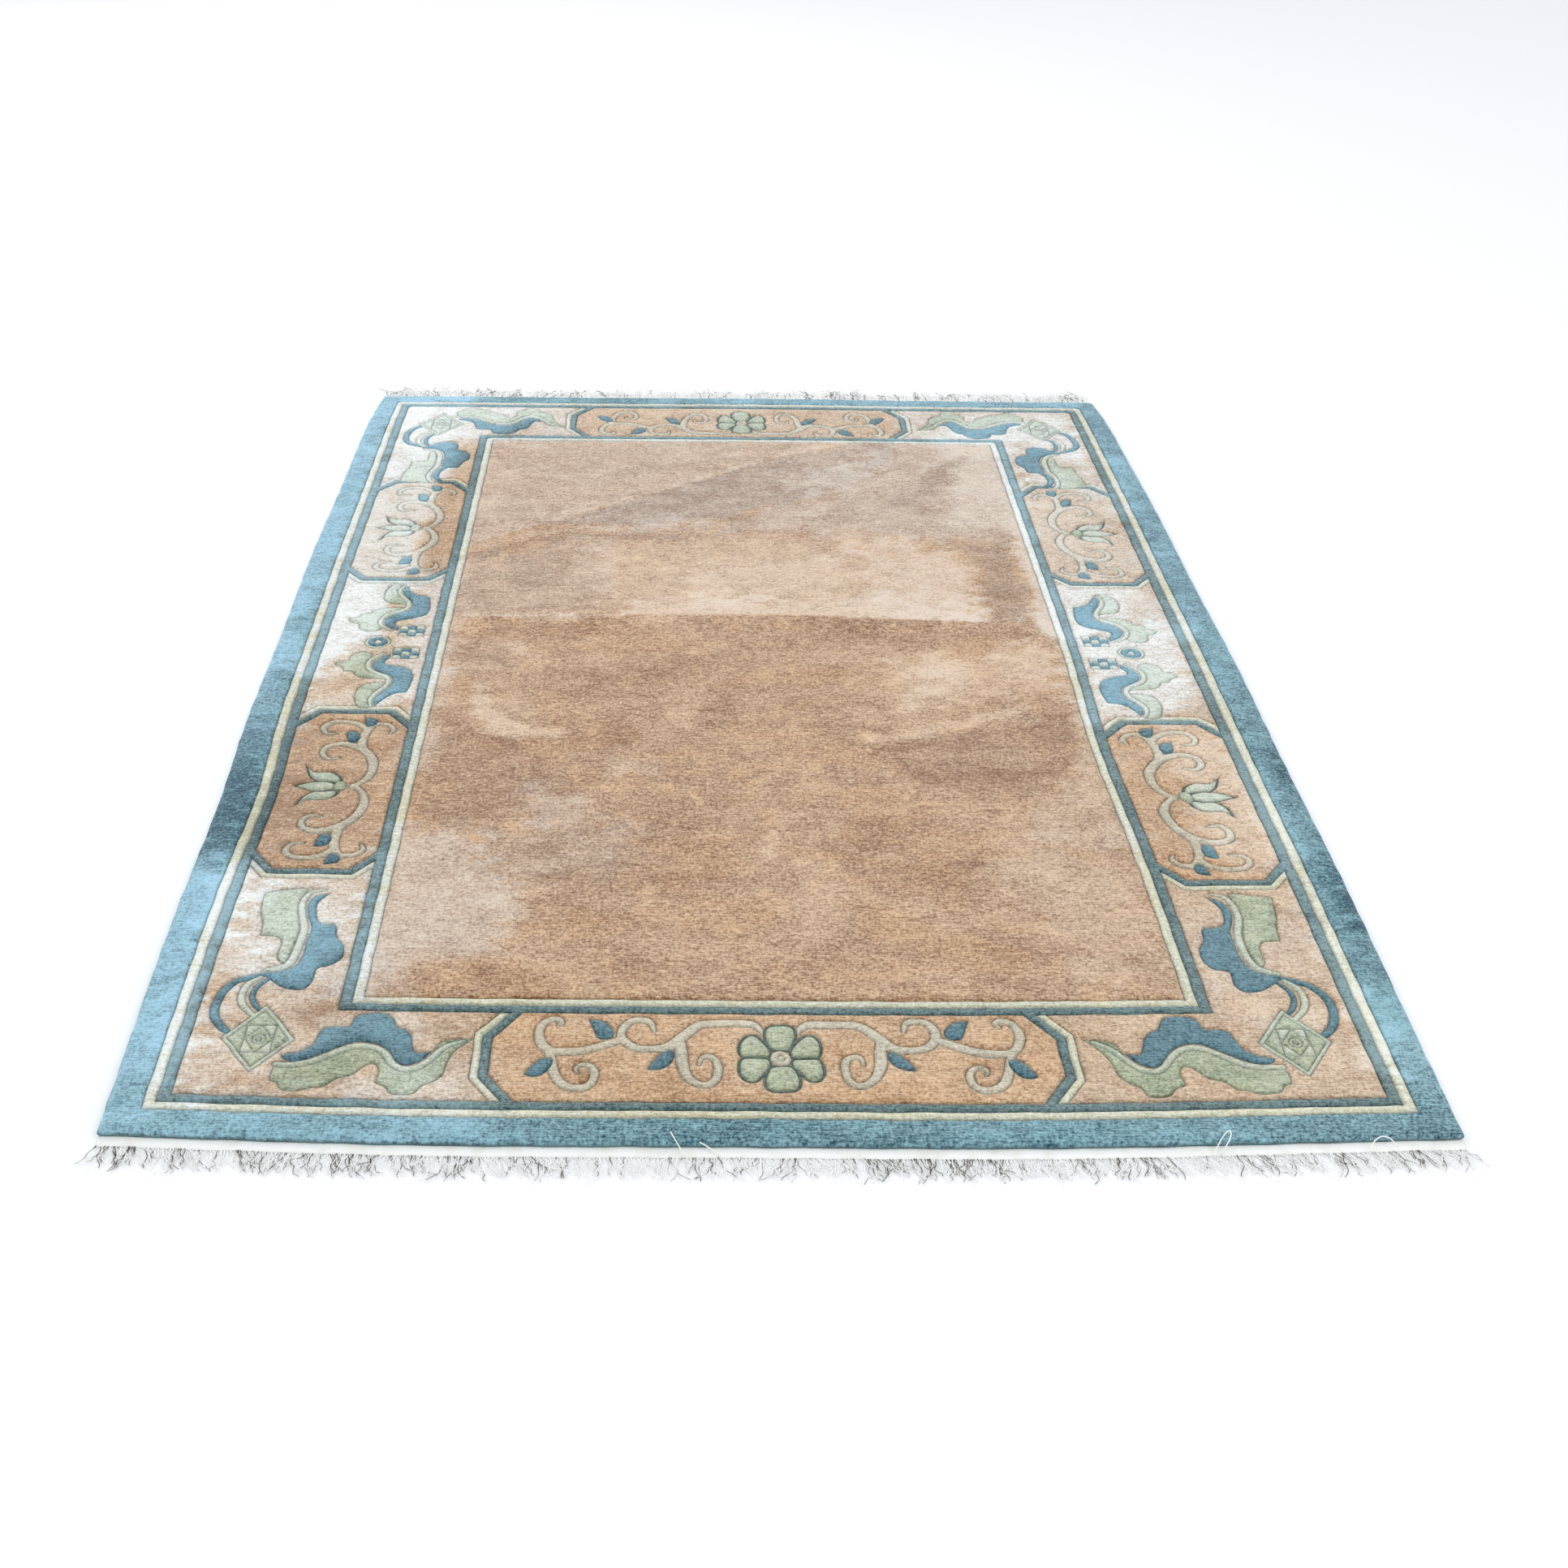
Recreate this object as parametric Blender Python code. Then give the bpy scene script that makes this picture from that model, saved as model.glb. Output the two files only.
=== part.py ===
"""Carved wool pile carpet with woven cotton end bands and a short warp fringe, lying flat.

Run with: blender --background --python part.py
Metres, +Z up. The origin is on the floor under the middle of the carpet. +X runs across the
carpet and +Y runs along it, from the near end to the far end.
"""

import math

import bmesh
import bpy
import numpy as np
from mathutils.geometry import delaunay_2d_cdt

# The knotted carpet
WIDTH = 1.70
LENGTH = 2.40
THICKNESS = 0.014
HALF_WIDTH = WIDTH / 2
HALF_LENGTH = LENGTH / 2

# Widths of the border bands along the long sides. The end bands are a little narrower.
OUTER_BAND = 0.0445
GUARD_CREAM = 0.0150
GUARD_BLUE = 0.0160
BORDER_GROUND = 0.1842
END_TO_SIDE = 0.897

# Distances of the band edges from the carpet's side
GROUND_OUTER = OUTER_BAND + GUARD_CREAM + GUARD_BLUE
GROUND_INNER = GROUND_OUTER + BORDER_GROUND
BAND_EDGES = (
    OUTER_BAND,
    OUTER_BAND + GUARD_CREAM,
    GROUND_OUTER,
    GROUND_INNER,
    GROUND_INNER + GUARD_BLUE,
    GROUND_INNER + GUARD_BLUE + GUARD_CREAM,
)

# Cartouches: long panels in the border ground, closed at each end by a chamfered bracket.
# A chamfer is its size along the border and its size across it.
END_CARTOUCHE_HALF = 0.373
END_CARTOUCHE_CENTRE = -0.005
END_CHAMFER = (0.036, 0.048)
SIDE_CARTOUCHE_HALF = 0.217
SIDE_CHAMFER = (0.044, 0.036)
BRACKET_BLUE = 0.013
BRACKET_CREAM = 0.011

# Where the knotter centred each side cartouche. Columns: side, centre along the carpet
SIDE_CARTOUCHES = ((-1, -0.440), (-1, 0.490), (1, -0.457), (1, 0.492))

# Carving: a V groove along each colour edge, and a rounded shoulder at the edge of the pile
GROOVE_HALF_WIDTH = 0.0035
GROOVE_DEPTH = 0.0040
SHOULDER_RAIL = 0.0035
SHOULDER_WIDTH = 0.0095
SHOULDER_DROP = 0.0045

# Spacing of the points along the outline, along the bands and over the plain field
OUTLINE_STEP = 0.050
BAND_STEP = 0.120
FIELD_STEP = 0.160

# How the carpet lies: its sides and ends bow outwards, and its far corners are drawn in.
# The bow of the sides fades quickly inwards: by this power of the distance from the middle.
SIDE_BOW = 0.0145
SIDE_BOW_POWER = 12
NEAR_BOW = 0.0190
FAR_BOW = 0.0040
FAR_CORNER_DRAW = 0.0100
FAR_CORNER_REACH = 0.20
SIDE_WANDER = 0.0015
SIDE_WAVE = 9.5
END_WANDER = 0.0020
END_WAVE = 7.0

# Soft places where the weave is pulled sideways. Columns: x, y, reach in x, reach in y, shift
PULLS = ((-0.800, -0.460, 0.055, 0.170, 0.010), (0.575, -0.310, 0.050, 0.220, -0.010))

# Soft creases that cross the field.
# Columns: start x, start y, end x, end y, height of the crest, half width
CREASES = (
    (-0.56, 0.155, 0.52, 0.130, 0.0040, 0.050),
    (-0.53, 0.430, 0.32, 0.920, 0.0050, 0.090),
)
CREASE_RAILS = (-1.0, -0.5, 0.0, 0.5, 1.0)
CREASE_POINTS = 9

# Woven end bands and their fringe of warp ends
PIECE_GAP = 0.0004
END_BAND_WIDTH = 0.016
END_BAND_THICKNESS = 0.0028
STRANDS = 110
STRAND_PITCH = WIDTH / STRANDS
STRAND_ROOT = 0.55 * STRAND_PITCH
NEAR_STRAND_LENGTH = 0.036
FAR_STRAND_LENGTH = 0.054
# Columns: share of the strand's length, of its root width and of its root height
STRAND_STEPS = ((0.50, 0.95, 0.90), (1.00, 0.45, 0.50))
LENGTH_SPREAD = 0.15
LEAN_SPREAD = 0.0014
FRINGE_SEED = 7

# Colours and roughness of the materials
SLATE_BLUE = (0.135, 0.290, 0.365, 1.0)
WHITE_COTTON = (0.800, 0.790, 0.730, 1.0)
WOOL_ROUGHNESS = 0.95
COTTON_ROUGHNESS = 0.90


def clear_scene():
    """Remove every object of the start-up scene."""
    for item in list(bpy.data.objects):
        bpy.data.objects.remove(item, do_unlink=True)


def plain_material(name, colour, roughness):
    """A Principled material of one colour."""
    material = bpy.data.materials.new(name)
    material.use_nodes = True
    shader = material.node_tree.nodes["Principled BSDF"]
    shader.inputs["Base Color"].default_value = colour
    shader.inputs["Roughness"].default_value = roughness
    shader.inputs["Metallic"].default_value = 0.0
    return material


def add_piece(name, shape, material, collection):
    """Turn a bmesh into a named object with one material."""
    mesh = bpy.data.meshes.new(name)
    shape.to_mesh(mesh)
    shape.free()
    mesh.materials.append(material)
    collection.objects.link(bpy.data.objects.new(name, mesh))


def sideways_pull(x, y):
    """How far the weave is pulled along X at a point."""
    shift = 0.0
    for middle_x, middle_y, reach_x, reach_y, most in PULLS:
        distance = math.hypot((x - middle_x) / reach_x, (y - middle_y) / reach_y)
        shift += most * math.exp(-(distance**2))
    return shift


def lie(vertices):
    """Move the points of the true rectangle to where they lie on the floor."""
    for vertex in vertices:
        side, end = vertex.co.x / HALF_WIDTH, vertex.co.y / HALF_LENGTH
        across, along = max(0.0, 1.0 - side**2), max(0.0, 1.0 - end**2)
        corner = min(1.2, max(0.0, 1.0 - (HALF_LENGTH - vertex.co.y) / FAR_CORNER_REACH))
        side_shift = SIDE_BOW * along - FAR_CORNER_DRAW * corner**2
        side_shift += SIDE_WANDER * math.sin(SIDE_WAVE * vertex.co.y + 2.0 * side) * along
        end_shift = across * (FAR_BOW if end > 0 else NEAR_BOW)
        end_shift += END_WANDER * math.sin(END_WAVE * vertex.co.x + end) * across * end**2
        pulled = sideways_pull(vertex.co.x, vertex.co.y)
        vertex.co.x += math.copysign(abs(side) ** SIDE_BOW_POWER, side) * side_shift + pulled
        vertex.co.y += end * end_shift


def crease_height(x, y):
    """How far the creases raise the pile at a point."""
    height = 0.0
    for start_x, start_y, end_x, end_y, crest, half_width in CREASES:
        run_x, run_y = end_x - start_x, end_y - start_y
        run = math.hypot(run_x, run_y)
        share = ((x - start_x) * run_x + (y - start_y) * run_y) / run**2
        offset = ((x - start_x) * run_y - (y - start_y) * run_x) / run / half_width
        if 0.0 < share < 1.0 and abs(offset) < 1.0:
            height = max(height, crest * math.sin(math.pi * share) * (1.0 - offset**2) ** 2)
    return height


def crease_rails():
    """Lines of points along and beside each crease, so that the mesh follows its crest."""
    rails = []
    for start_x, start_y, end_x, end_y, _, half_width in CREASES:
        run_x, run_y = end_x - start_x, end_y - start_y
        run = math.hypot(run_x, run_y)
        for rail in CREASE_RAILS:
            base_x = start_x + rail * half_width * run_y / run
            base_y = start_y - rail * half_width * run_x / run
            shares = [i / (CREASE_POINTS - 1) for i in range(CREASE_POINTS)]
            rails.append([(base_x + s * run_x, base_y + s * run_y) for s in shares])
    return rails


def inset_half_sizes(inset):
    """Half sizes of the rectangle whose long sides lie a distance in from the edge."""
    return HALF_WIDTH - inset, HALF_LENGTH - inset * END_TO_SIDE


def rectangle(half_x, half_y, step):
    """Closed outline of a centred rectangle, with points about a step apart."""
    corners = [(-half_x, -half_y), (half_x, -half_y), (half_x, half_y), (-half_x, half_y)]
    points = []
    for (x0, y0), (x1, y1) in zip(corners, corners[1:] + corners[:1]):
        count = max(1, round(math.hypot(x1 - x0, y1 - y0) / step))
        points += [(x0 + (x1 - x0) * i / count, y0 + (y1 - y0) * i / count) for i in range(count)]
    return points + points[:1]


def bracket(reach, grow, outer, inner, chamfer):
    """A cartouche's closing line, moved out by grow, as (along, across) points."""
    along, across = chamfer
    slope = math.hypot(along, across)
    start = reach - along + grow * slope / across
    turn = across - grow * (slope - across) / along
    tip = reach + grow
    return [(start, outer), (tip, outer - turn), (tip, inner + turn), (start, inner)]


def bracket_lines(grow):
    """The closing lines of all six cartouches, each moved out by grow."""
    outer_x, outer_y = inset_half_sizes(GROUND_OUTER)
    inner_x, inner_y = inset_half_sizes(GROUND_INNER)
    end_line = bracket(END_CARTOUCHE_HALF, grow, outer_y, inner_y, END_CHAMFER)
    side_line = bracket(SIDE_CARTOUCHE_HALF, grow, outer_x, inner_x, SIDE_CHAMFER)
    lines = []
    for turn in (-1, 1):
        for end in (-1, 1):
            lines.append([(END_CARTOUCHE_CENTRE + turn * a, end * c) for a, c in end_line])
        for side, centre in SIDE_CARTOUCHES:
            lines.append([(side * c, centre + turn * a) for a, c in side_line])
    return lines


def groove_lines(offset):
    """Every carved line, moved sideways by an offset."""
    lines = []
    for inset in BAND_EDGES:
        half_x, half_y = inset_half_sizes(inset)
        lines.append(rectangle(half_x + offset, half_y + offset, BAND_STEP))
    for grow in (0.0, BRACKET_BLUE, BRACKET_BLUE + BRACKET_CREAM):
        lines += bracket_lines(grow + offset)
    return lines


def straight_runs(lines):
    """Start points and runs of all the straight pieces of some lines."""
    starts = np.array([point for line in lines for point in line[:-1]])
    ends = np.array([point for line in lines for point in line[1:]])
    return starts, ends - starts


def distance_to_runs(x, y, starts, runs):
    """Shortest distance from a point to the straight pieces."""
    away = np.array((x, y)) - starts
    share = np.clip((away * runs).sum(1) / (runs**2).sum(1), 0.0, 1.0)
    return float(np.sqrt(((away - share[:, None] * runs) ** 2).sum(1)).min())


def pile_height(x, y, starts, runs):
    """Height of the carved pile over the floor."""
    groove = max(0.0, 1.0 - distance_to_runs(x, y, starts, runs) / GROOVE_HALF_WIDTH)
    edge = min(HALF_WIDTH - abs(x), HALF_LENGTH - abs(y))
    shoulder = max(0.0, 1.0 - edge / SHOULDER_WIDTH)
    height = THICKNESS - GROOVE_DEPTH * groove - SHOULDER_DROP * shoulder**2
    return height + crease_height(x, y)


def plan_lines():
    """Every line and single point of the carpet's plan."""
    lines = [rectangle(HALF_WIDTH, HALF_LENGTH, OUTLINE_STEP)]
    for inset in (SHOULDER_RAIL, SHOULDER_WIDTH):
        lines.append(rectangle(HALF_WIDTH - inset, HALF_LENGTH - inset, BAND_STEP))
    for offset in (-GROOVE_HALF_WIDTH, 0.0, GROOVE_HALF_WIDTH):
        lines += groove_lines(offset)
    field_x, field_y = inset_half_sizes(BAND_EDGES[-1] + 2 * GROOVE_HALF_WIDTH)
    points = [p for rail in crease_rails() for p in rail]
    count_x, count_y = int(2 * field_x / FIELD_STEP), int(2 * field_y / FIELD_STEP)
    for i in range(1, count_x):
        for j in range(1, count_y):
            points.append((field_x * (2 * i / count_x - 1), field_y * (2 * j / count_y - 1)))
    inside = [[p] for p in points if abs(p[0]) < field_x and abs(p[1]) < field_y]
    return lines + inside


def triangulate_plan(lines):
    """Points and triangles of a flat mesh whose edges hold every line."""
    points, edges = [], []
    for line in lines:
        first = len(points)
        points += line
        edges += [(first + i, first + i + 1) for i in range(len(line) - 1)]
    plan = delaunay_2d_cdt(points, edges, [], 0, 1e-5)
    return plan[0], plan[2]


def build_carpet(collection):
    """The knotted sheet: one solid, flat below, with its carved pile on top."""
    points, triangles = triangulate_plan(plan_lines())
    shape = bmesh.new()
    floor = [shape.verts.new((point[0], point[1], 0.0)) for point in points]
    for triangle in triangles:
        shape.faces.new([floor[i] for i in triangle])
    underside = shape.faces[:]
    raised = bmesh.ops.extrude_face_region(shape, geom=underside, use_keep_orig=True)
    starts, runs = straight_runs(groove_lines(0.0))
    for item in raised["geom"]:
        if isinstance(item, bmesh.types.BMVert):
            item.co.z = pile_height(item.co.x, item.co.y, starts, runs)
    bmesh.ops.dissolve_faces(shape, faces=underside, use_verts=False)
    lie(shape.verts)
    bmesh.ops.triangulate(shape, faces=[f for f in shape.faces if len(f.verts) > 3])
    bmesh.ops.recalc_face_normals(shape, faces=shape.faces)
    wool = plain_material("slate_blue_wool", SLATE_BLUE, WOOL_ROUGHNESS)
    add_piece("carpet", shape, wool, collection)


def strand_lean(x, end):
    """Sideways drift of a strand's tip: the combed fringe leans in slow waves."""
    side = x / HALF_WIDTH
    if end < 0:
        return 0.003 + 0.012 * max(0.0, side) ** 2 + 0.003 * math.sin(13.0 * side)
    return 0.004 * math.sin(9.0 * side + 1.0)


def grow_strand(shape, root, end, spread):
    """Extrude one strand from its root face, in steps that lie on the floor."""
    start = root.calc_center_median()
    length = NEAR_STRAND_LENGTH if end < 0 else FAR_STRAND_LENGTH
    length *= 1.0 + LENGTH_SPREAD * spread.uniform(-1.0, 1.0)
    drift = strand_lean(start.x, end) + LEAN_SPREAD * spread.uniform(-1.0, 1.0)
    tip = root
    for along, width, height in STRAND_STEPS:
        tip = bmesh.ops.extrude_discrete_faces(shape, faces=[tip])["faces"][0]
        middle = tip.calc_center_median().x
        for vertex in tip.verts:
            edge = math.copysign(0.5 * STRAND_ROOT * width, vertex.co.x - middle)
            vertex.co.x = start.x + drift * along**1.5 + edge
            vertex.co.y = start.y + end * length * along
            if vertex.co.z > 0.0:
                vertex.co.z = END_BAND_THICKNESS * height


def build_fringe(name, end, collection):
    """A woven end band with its strands, as one solid. The end is -1 near and 1 far."""
    spread = np.random.default_rng(FRINGE_SEED + end)
    columns = [-HALF_WIDTH]
    for strand in range(STRANDS):
        middle = -HALF_WIDTH + (strand + 0.5) * STRAND_PITCH
        columns += [middle - STRAND_ROOT / 2, middle + STRAND_ROOT / 2]
    columns.append(HALF_WIDTH)
    inner = HALF_LENGTH + PIECE_GAP
    shape = bmesh.new()
    bmesh.ops.create_grid(shape, x_segments=len(columns) - 1, y_segments=1, size=1.0)
    for number, vertex in enumerate(shape.verts):
        row, column = divmod(number, len(columns))
        vertex.co = (columns[column], end * (inner + row * END_BAND_WIDTH), 0.0)
    underside = shape.faces[:]
    raised = bmesh.ops.extrude_face_region(shape, geom=underside, use_keep_orig=True)
    for item in raised["geom"]:
        if isinstance(item, bmesh.types.BMVert):
            item.co.z = END_BAND_THICKNESS
    outer = end * (inner + END_BAND_WIDTH)
    outer_side = [f for f in shape.faces if all(abs(v.co.y - outer) < 1e-6 for v in f.verts)]
    outer_side.sort(key=lambda face: face.calc_center_median().x)
    for root in outer_side[1::2]:
        grow_strand(shape, root, end, spread)
    bmesh.ops.dissolve_faces(shape, faces=underside, use_verts=False)
    lie(shape.verts)
    bmesh.ops.triangulate(shape, faces=shape.faces)
    bmesh.ops.recalc_face_normals(shape, faces=shape.faces)
    cotton = plain_material(name + "_cotton", WHITE_COTTON, COTTON_ROUGHNESS)
    add_piece(name, shape, cotton, collection)


def main():
    """Build the carpet and its two fringes."""
    clear_scene()
    collection = bpy.data.collections.new("Chinese carpet")
    bpy.context.scene.collection.children.link(collection)
    build_carpet(collection)
    build_fringe("fringe_near", -1, collection)
    build_fringe("fringe_far", 1, collection)


main()
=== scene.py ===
"""Dresses the carved carpet: dyed wool pile, knotted back, woven end bands and cotton fringe.

Metres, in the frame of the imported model: +X across the carpet, +Y from its near end to its far
end, +Z up, with the origin on the floor under the middle of the carpet.
"""

import logging
import math
from collections.abc import Callable, Iterable, Sequence
from dataclasses import dataclass, field
from enum import Enum

import bpy
import numpy as np
from mathutils import Euler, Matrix
from mathutils.geometry import delaunay_2d_cdt
from mathutils.kdtree import KDTree

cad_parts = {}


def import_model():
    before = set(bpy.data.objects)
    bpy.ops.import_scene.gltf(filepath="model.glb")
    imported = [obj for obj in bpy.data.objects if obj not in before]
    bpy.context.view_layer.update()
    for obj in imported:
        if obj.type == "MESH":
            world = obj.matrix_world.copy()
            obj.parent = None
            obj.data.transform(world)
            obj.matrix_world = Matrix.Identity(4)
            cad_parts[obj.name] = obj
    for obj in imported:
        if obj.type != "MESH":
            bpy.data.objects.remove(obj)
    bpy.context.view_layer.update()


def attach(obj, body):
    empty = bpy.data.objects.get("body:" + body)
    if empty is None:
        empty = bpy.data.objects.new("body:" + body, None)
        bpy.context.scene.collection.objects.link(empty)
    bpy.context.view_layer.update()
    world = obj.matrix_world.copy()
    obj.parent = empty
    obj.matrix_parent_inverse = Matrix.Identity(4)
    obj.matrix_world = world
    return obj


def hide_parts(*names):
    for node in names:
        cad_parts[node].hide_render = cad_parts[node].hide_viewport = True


LOG = logging.getLogger("carpet")

Point = tuple[float, float]
Scale = tuple[float, float, float]
Colour = tuple[int, int, int]
Socket = bpy.types.NodeSocket

BODY = "root"


class Wool(Enum):
    """The dyed wools of the pile, by the name of their finish."""

    SLATE = "slate_blue"
    TEAL = "teal_blue"
    CREAM = "cream"
    TAN = "tan"
    ROSE = "rose_beige"
    PEACH = "peach"
    CELADON = "celadon"
    PALE = "pale_celadon"
    ASH = "ash_beige"
    GUARD = "grey_teal"
    MOSS = "moss_green"


class End(Enum):
    """The two ends of the carpet, by their direction along Y."""

    NEAR = -1
    FAR = 1


def linear(colour: Colour, alpha: float = 1.0) -> tuple[float, float, float, float]:
    """A colour of 0 to 255 as the linear colour that a shader socket holds.

    Args:
        colour: Red, green and blue from 0 to 255.
        alpha: The fourth value.

    Returns:
        Four linear values.
    """
    shares = [value / 255 for value in colour]
    red, green, blue = (s / 12.92 if s < 0.04045 else ((s + 0.055) / 1.055) ** 2.4 for s in shares)
    return red, green, blue, alpha


def smoothstep(values: np.ndarray) -> np.ndarray:
    """An even rise from 0 to 1 with level ends."""
    clipped = np.clip(values, 0.0, 1.0)
    return clipped * clipped * (3.0 - 2.0 * clipped)


def mm(*lengths: float, columns: int = 2) -> np.ndarray:
    """Rows of x and y in metres, from a run of millimetres."""
    return np.array(lengths, dtype=float).reshape(-1, columns) / 1000


def mm3(*lengths: float) -> np.ndarray:
    """Rows of x, y and a third length in metres: a band's width, or a height."""
    return mm(*lengths, columns=3)


# How the carpet lies on the floor


@dataclass(frozen=True)
class Pull:
    """A soft place where the weave is pulled out of true."""

    x: float
    y: float
    reach_x: float
    reach_y: float
    shift_x: float
    shift_y: float

    def weight(self, points: np.ndarray) -> np.ndarray:
        """How strongly each point is pulled, from 0 to 1."""
        far_x = (points[:, 0] - self.x) / self.reach_x
        far_y = (points[:, 1] - self.y) / self.reach_y
        return np.exp(-(far_x**2) - far_y**2)


@dataclass(frozen=True)
class Crease:
    """A soft fold that crosses the field, highest in the middle of its run."""

    start: Point
    end: Point
    height: float
    half_width: float

    def rise(self, points: np.ndarray) -> np.ndarray:
        """How far the crease raises the pile at each point, in metres."""
        run = np.subtract(self.end, self.start)
        length = float(np.hypot(*run))
        away = points - self.start
        share = away @ run / length**2
        offset = (away[:, 0] * run[1] - away[:, 1] * run[0]) / length / self.half_width
        fade = np.sin(np.pi * np.clip(share, 0.0, 1.0))
        return self.height * fade * np.clip(1.0 - offset**2, 0.0, 1.0) ** 2


@dataclass(frozen=True)
class Lie:
    """The way the true rectangle lies: bowed sides and ends, pulls in the weave, and creases."""

    half_width: float = 0.850
    half_length: float = 1.200
    side_bow: float = 0.0145
    side_bow_power: float = 11.0
    near_bow: float = 0.0190
    far_bow: float = 0.0040
    far_corner_draw: float = 0.0100
    far_corner_reach: float = 0.20
    side_wander: float = 0.0015
    side_wave: float = 9.5
    end_wander: float = 0.0020
    end_wave: float = 7.0
    knot_wander: float = 0.0007
    pulls: tuple[Pull, ...] = (
        Pull(-0.800, -0.460, 0.055, 0.170, 0.0100, 0.0),
        Pull(0.575, -0.310, 0.050, 0.220, -0.0100, 0.0),
    )
    creases: tuple[Crease, ...] = (
        Crease((-0.56, 0.122), (0.52, 0.104), 0.0040, 0.050),
        Crease((-0.53, 0.430), (0.32, 0.920), 0.0050, 0.090),
    )

    def place(self, points: np.ndarray) -> np.ndarray:
        """Moves points of the true rectangle to where they lie on the floor.

        Args:
            points: Rows of x and y.

        Returns:
            The moved rows.
        """
        x, y = points[:, 0], points[:, 1]
        side, end = x / self.half_width, y / self.half_length
        across, along = np.clip(1.0 - side**2, 0.0, 1.0), np.clip(1.0 - end**2, 0.0, 1.0)
        corner = np.clip(1.0 - (self.half_length - y) / self.far_corner_reach, 0.0, 1.2)
        side_shift = self.side_bow * along - self.far_corner_draw * corner**2
        side_shift += self.side_wander * np.sin(self.side_wave * y + 2.0 * side) * along
        end_shift = across * np.where(end > 0, self.far_bow, self.near_bow)
        end_shift += self.end_wander * np.sin(self.end_wave * x + end) * across * end**2
        moved = points.astype(float).copy()
        moved[:, 0] += side * np.abs(side) ** self.side_bow_power * side_shift
        moved[:, 1] += end * end_shift
        for pull in self.pulls:
            moved += pull.weight(points)[:, None] * (pull.shift_x, pull.shift_y)
        moved[:, 0] += self.knot_wander * np.sin(83 * y + 4 * np.sin(31 * x)) * np.sin(23 * y + x)
        moved[:, 1] += self.knot_wander * np.sin(71 * x + 4 * np.sin(27 * y)) * np.sin(19 * x + y)
        return moved

    def rise(self, points: np.ndarray) -> np.ndarray:
        """How far the creases raise the pile at points of the true rectangle."""
        return np.max([crease.rise(points) for crease in self.creases], axis=0)


# Outlines, drawn in the true rectangle


def rounded(points: np.ndarray, closed: bool, cuts: Sequence[float] = (0.20, 0.25)) -> np.ndarray:
    """Cuts the corners of a line to make it smooth. A point given twice stays sharp.

    Args:
        points: Rows of coordinates.
        closed: Whether the last point joins the first.
        cuts: For each round, the share of an edge that is cut off at each corner.

    Returns:
        The rows of the smooth line.
    """
    for share in cuts:
        after = np.roll(points, -1, axis=0) if closed else points[1:]
        before = points if closed else points[:-1]
        keep = 1.0 - share
        cut = np.stack((keep * before + share * after, share * before + keep * after), axis=1)
        cut = cut.reshape(-1, points.shape[1])
        points = cut if closed else np.concatenate((points[:1], cut[1:-1], points[-1:]))
    return points


def evenly(points: np.ndarray, closed: bool, step: float) -> np.ndarray:
    """Sets points along a line at even steps, and keeps the ends of an open one."""
    line = np.concatenate((points, points[:1])) if closed else points
    lengths = np.hypot(*np.diff(line[:, :2], axis=0).T)
    reach = np.concatenate(([0.0], np.cumsum(lengths)))
    count = max(3, round(reach[-1] / step))
    places = np.linspace(0.0, reach[-1], count + 1)
    even = np.stack([np.interp(places, reach, column) for column in line.T], axis=1)
    return even[:-1] if closed else even


def side_normals(points: np.ndarray, closed: bool) -> np.ndarray:
    """Unit normals of a line in the plane, to the right of its direction."""
    if closed:
        run = np.roll(points, -1, axis=0) - np.roll(points, 1, axis=0)
    else:
        run = np.gradient(points, axis=0)
    length = np.maximum(np.hypot(run[:, 0], run[:, 1]), 1e-9)
    return np.stack((run[:, 1], -run[:, 0]), axis=1) / length[:, None]


@dataclass(frozen=True)
class Patch:
    """A closed outline that is knotted in one wool. Later patches cover earlier ones."""

    outline: np.ndarray
    wool: Wool

    def moved(self, place: Callable[[np.ndarray], np.ndarray]) -> "Patch":
        """The same patch with its outline put somewhere else."""
        return Patch(place(self.outline), self.wool)


def blob(points: np.ndarray, wool: Wool) -> Patch:
    """A freely drawn shape with rounded corners. A point given twice is a sharp tip."""
    return Patch(rounded(points, closed=True), wool)


def ribbon(points: np.ndarray, wool: Wool, tip: float = 0.8) -> Patch:
    """A band along a drawn line.

    Args:
        points: Rows of x, y and the band's width there.
        wool: The band's wool.
        tip: How far each rounded end reaches past the line, in half widths.

    Returns:
        The band as a closed patch.
    """
    line = evenly(rounded(points, closed=False), closed=False, step=Carving.line_step)
    centre, half = line[:, :2], line[:, 2:] / 2
    normals = side_normals(centre, closed=False)
    first = centre[:1] - (centre[1:2] - centre[:1]) * half[:1] / Carving.line_step * tip
    last = centre[-1:] + (centre[-1:] - centre[-2:-1]) * half[-1:] / Carving.line_step * tip
    right, left = centre + normals * half, centre - normals * half
    return Patch(np.concatenate((first, right, last, left[::-1])), wool)


def grown(points: np.ndarray, distance: float) -> np.ndarray:
    """A closed outline, drawn anticlockwise or clockwise, moved outwards by a distance."""
    after = np.roll(points, -1, axis=0)
    turn = np.sign((points[:, 0] * after[:, 1] - points[:, 1] * after[:, 0]).sum())
    return points + turn * distance * side_normals(points, closed=True)


def disc(x: float, y: float, radius: float, wool: Wool, corners: int = 24) -> Patch:
    """A round patch."""
    angles = np.linspace(0.0, 2 * np.pi, corners + 1)[:-1]
    return Patch(np.stack((x + radius * np.cos(angles), y + radius * np.sin(angles)), axis=1), wool)


def rectangle(half_x: float, half_y: float) -> np.ndarray:
    """The four corners of a centred rectangle."""
    return np.array([(-half_x, -half_y), (half_x, -half_y), (half_x, half_y), (-half_x, half_y)])


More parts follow.
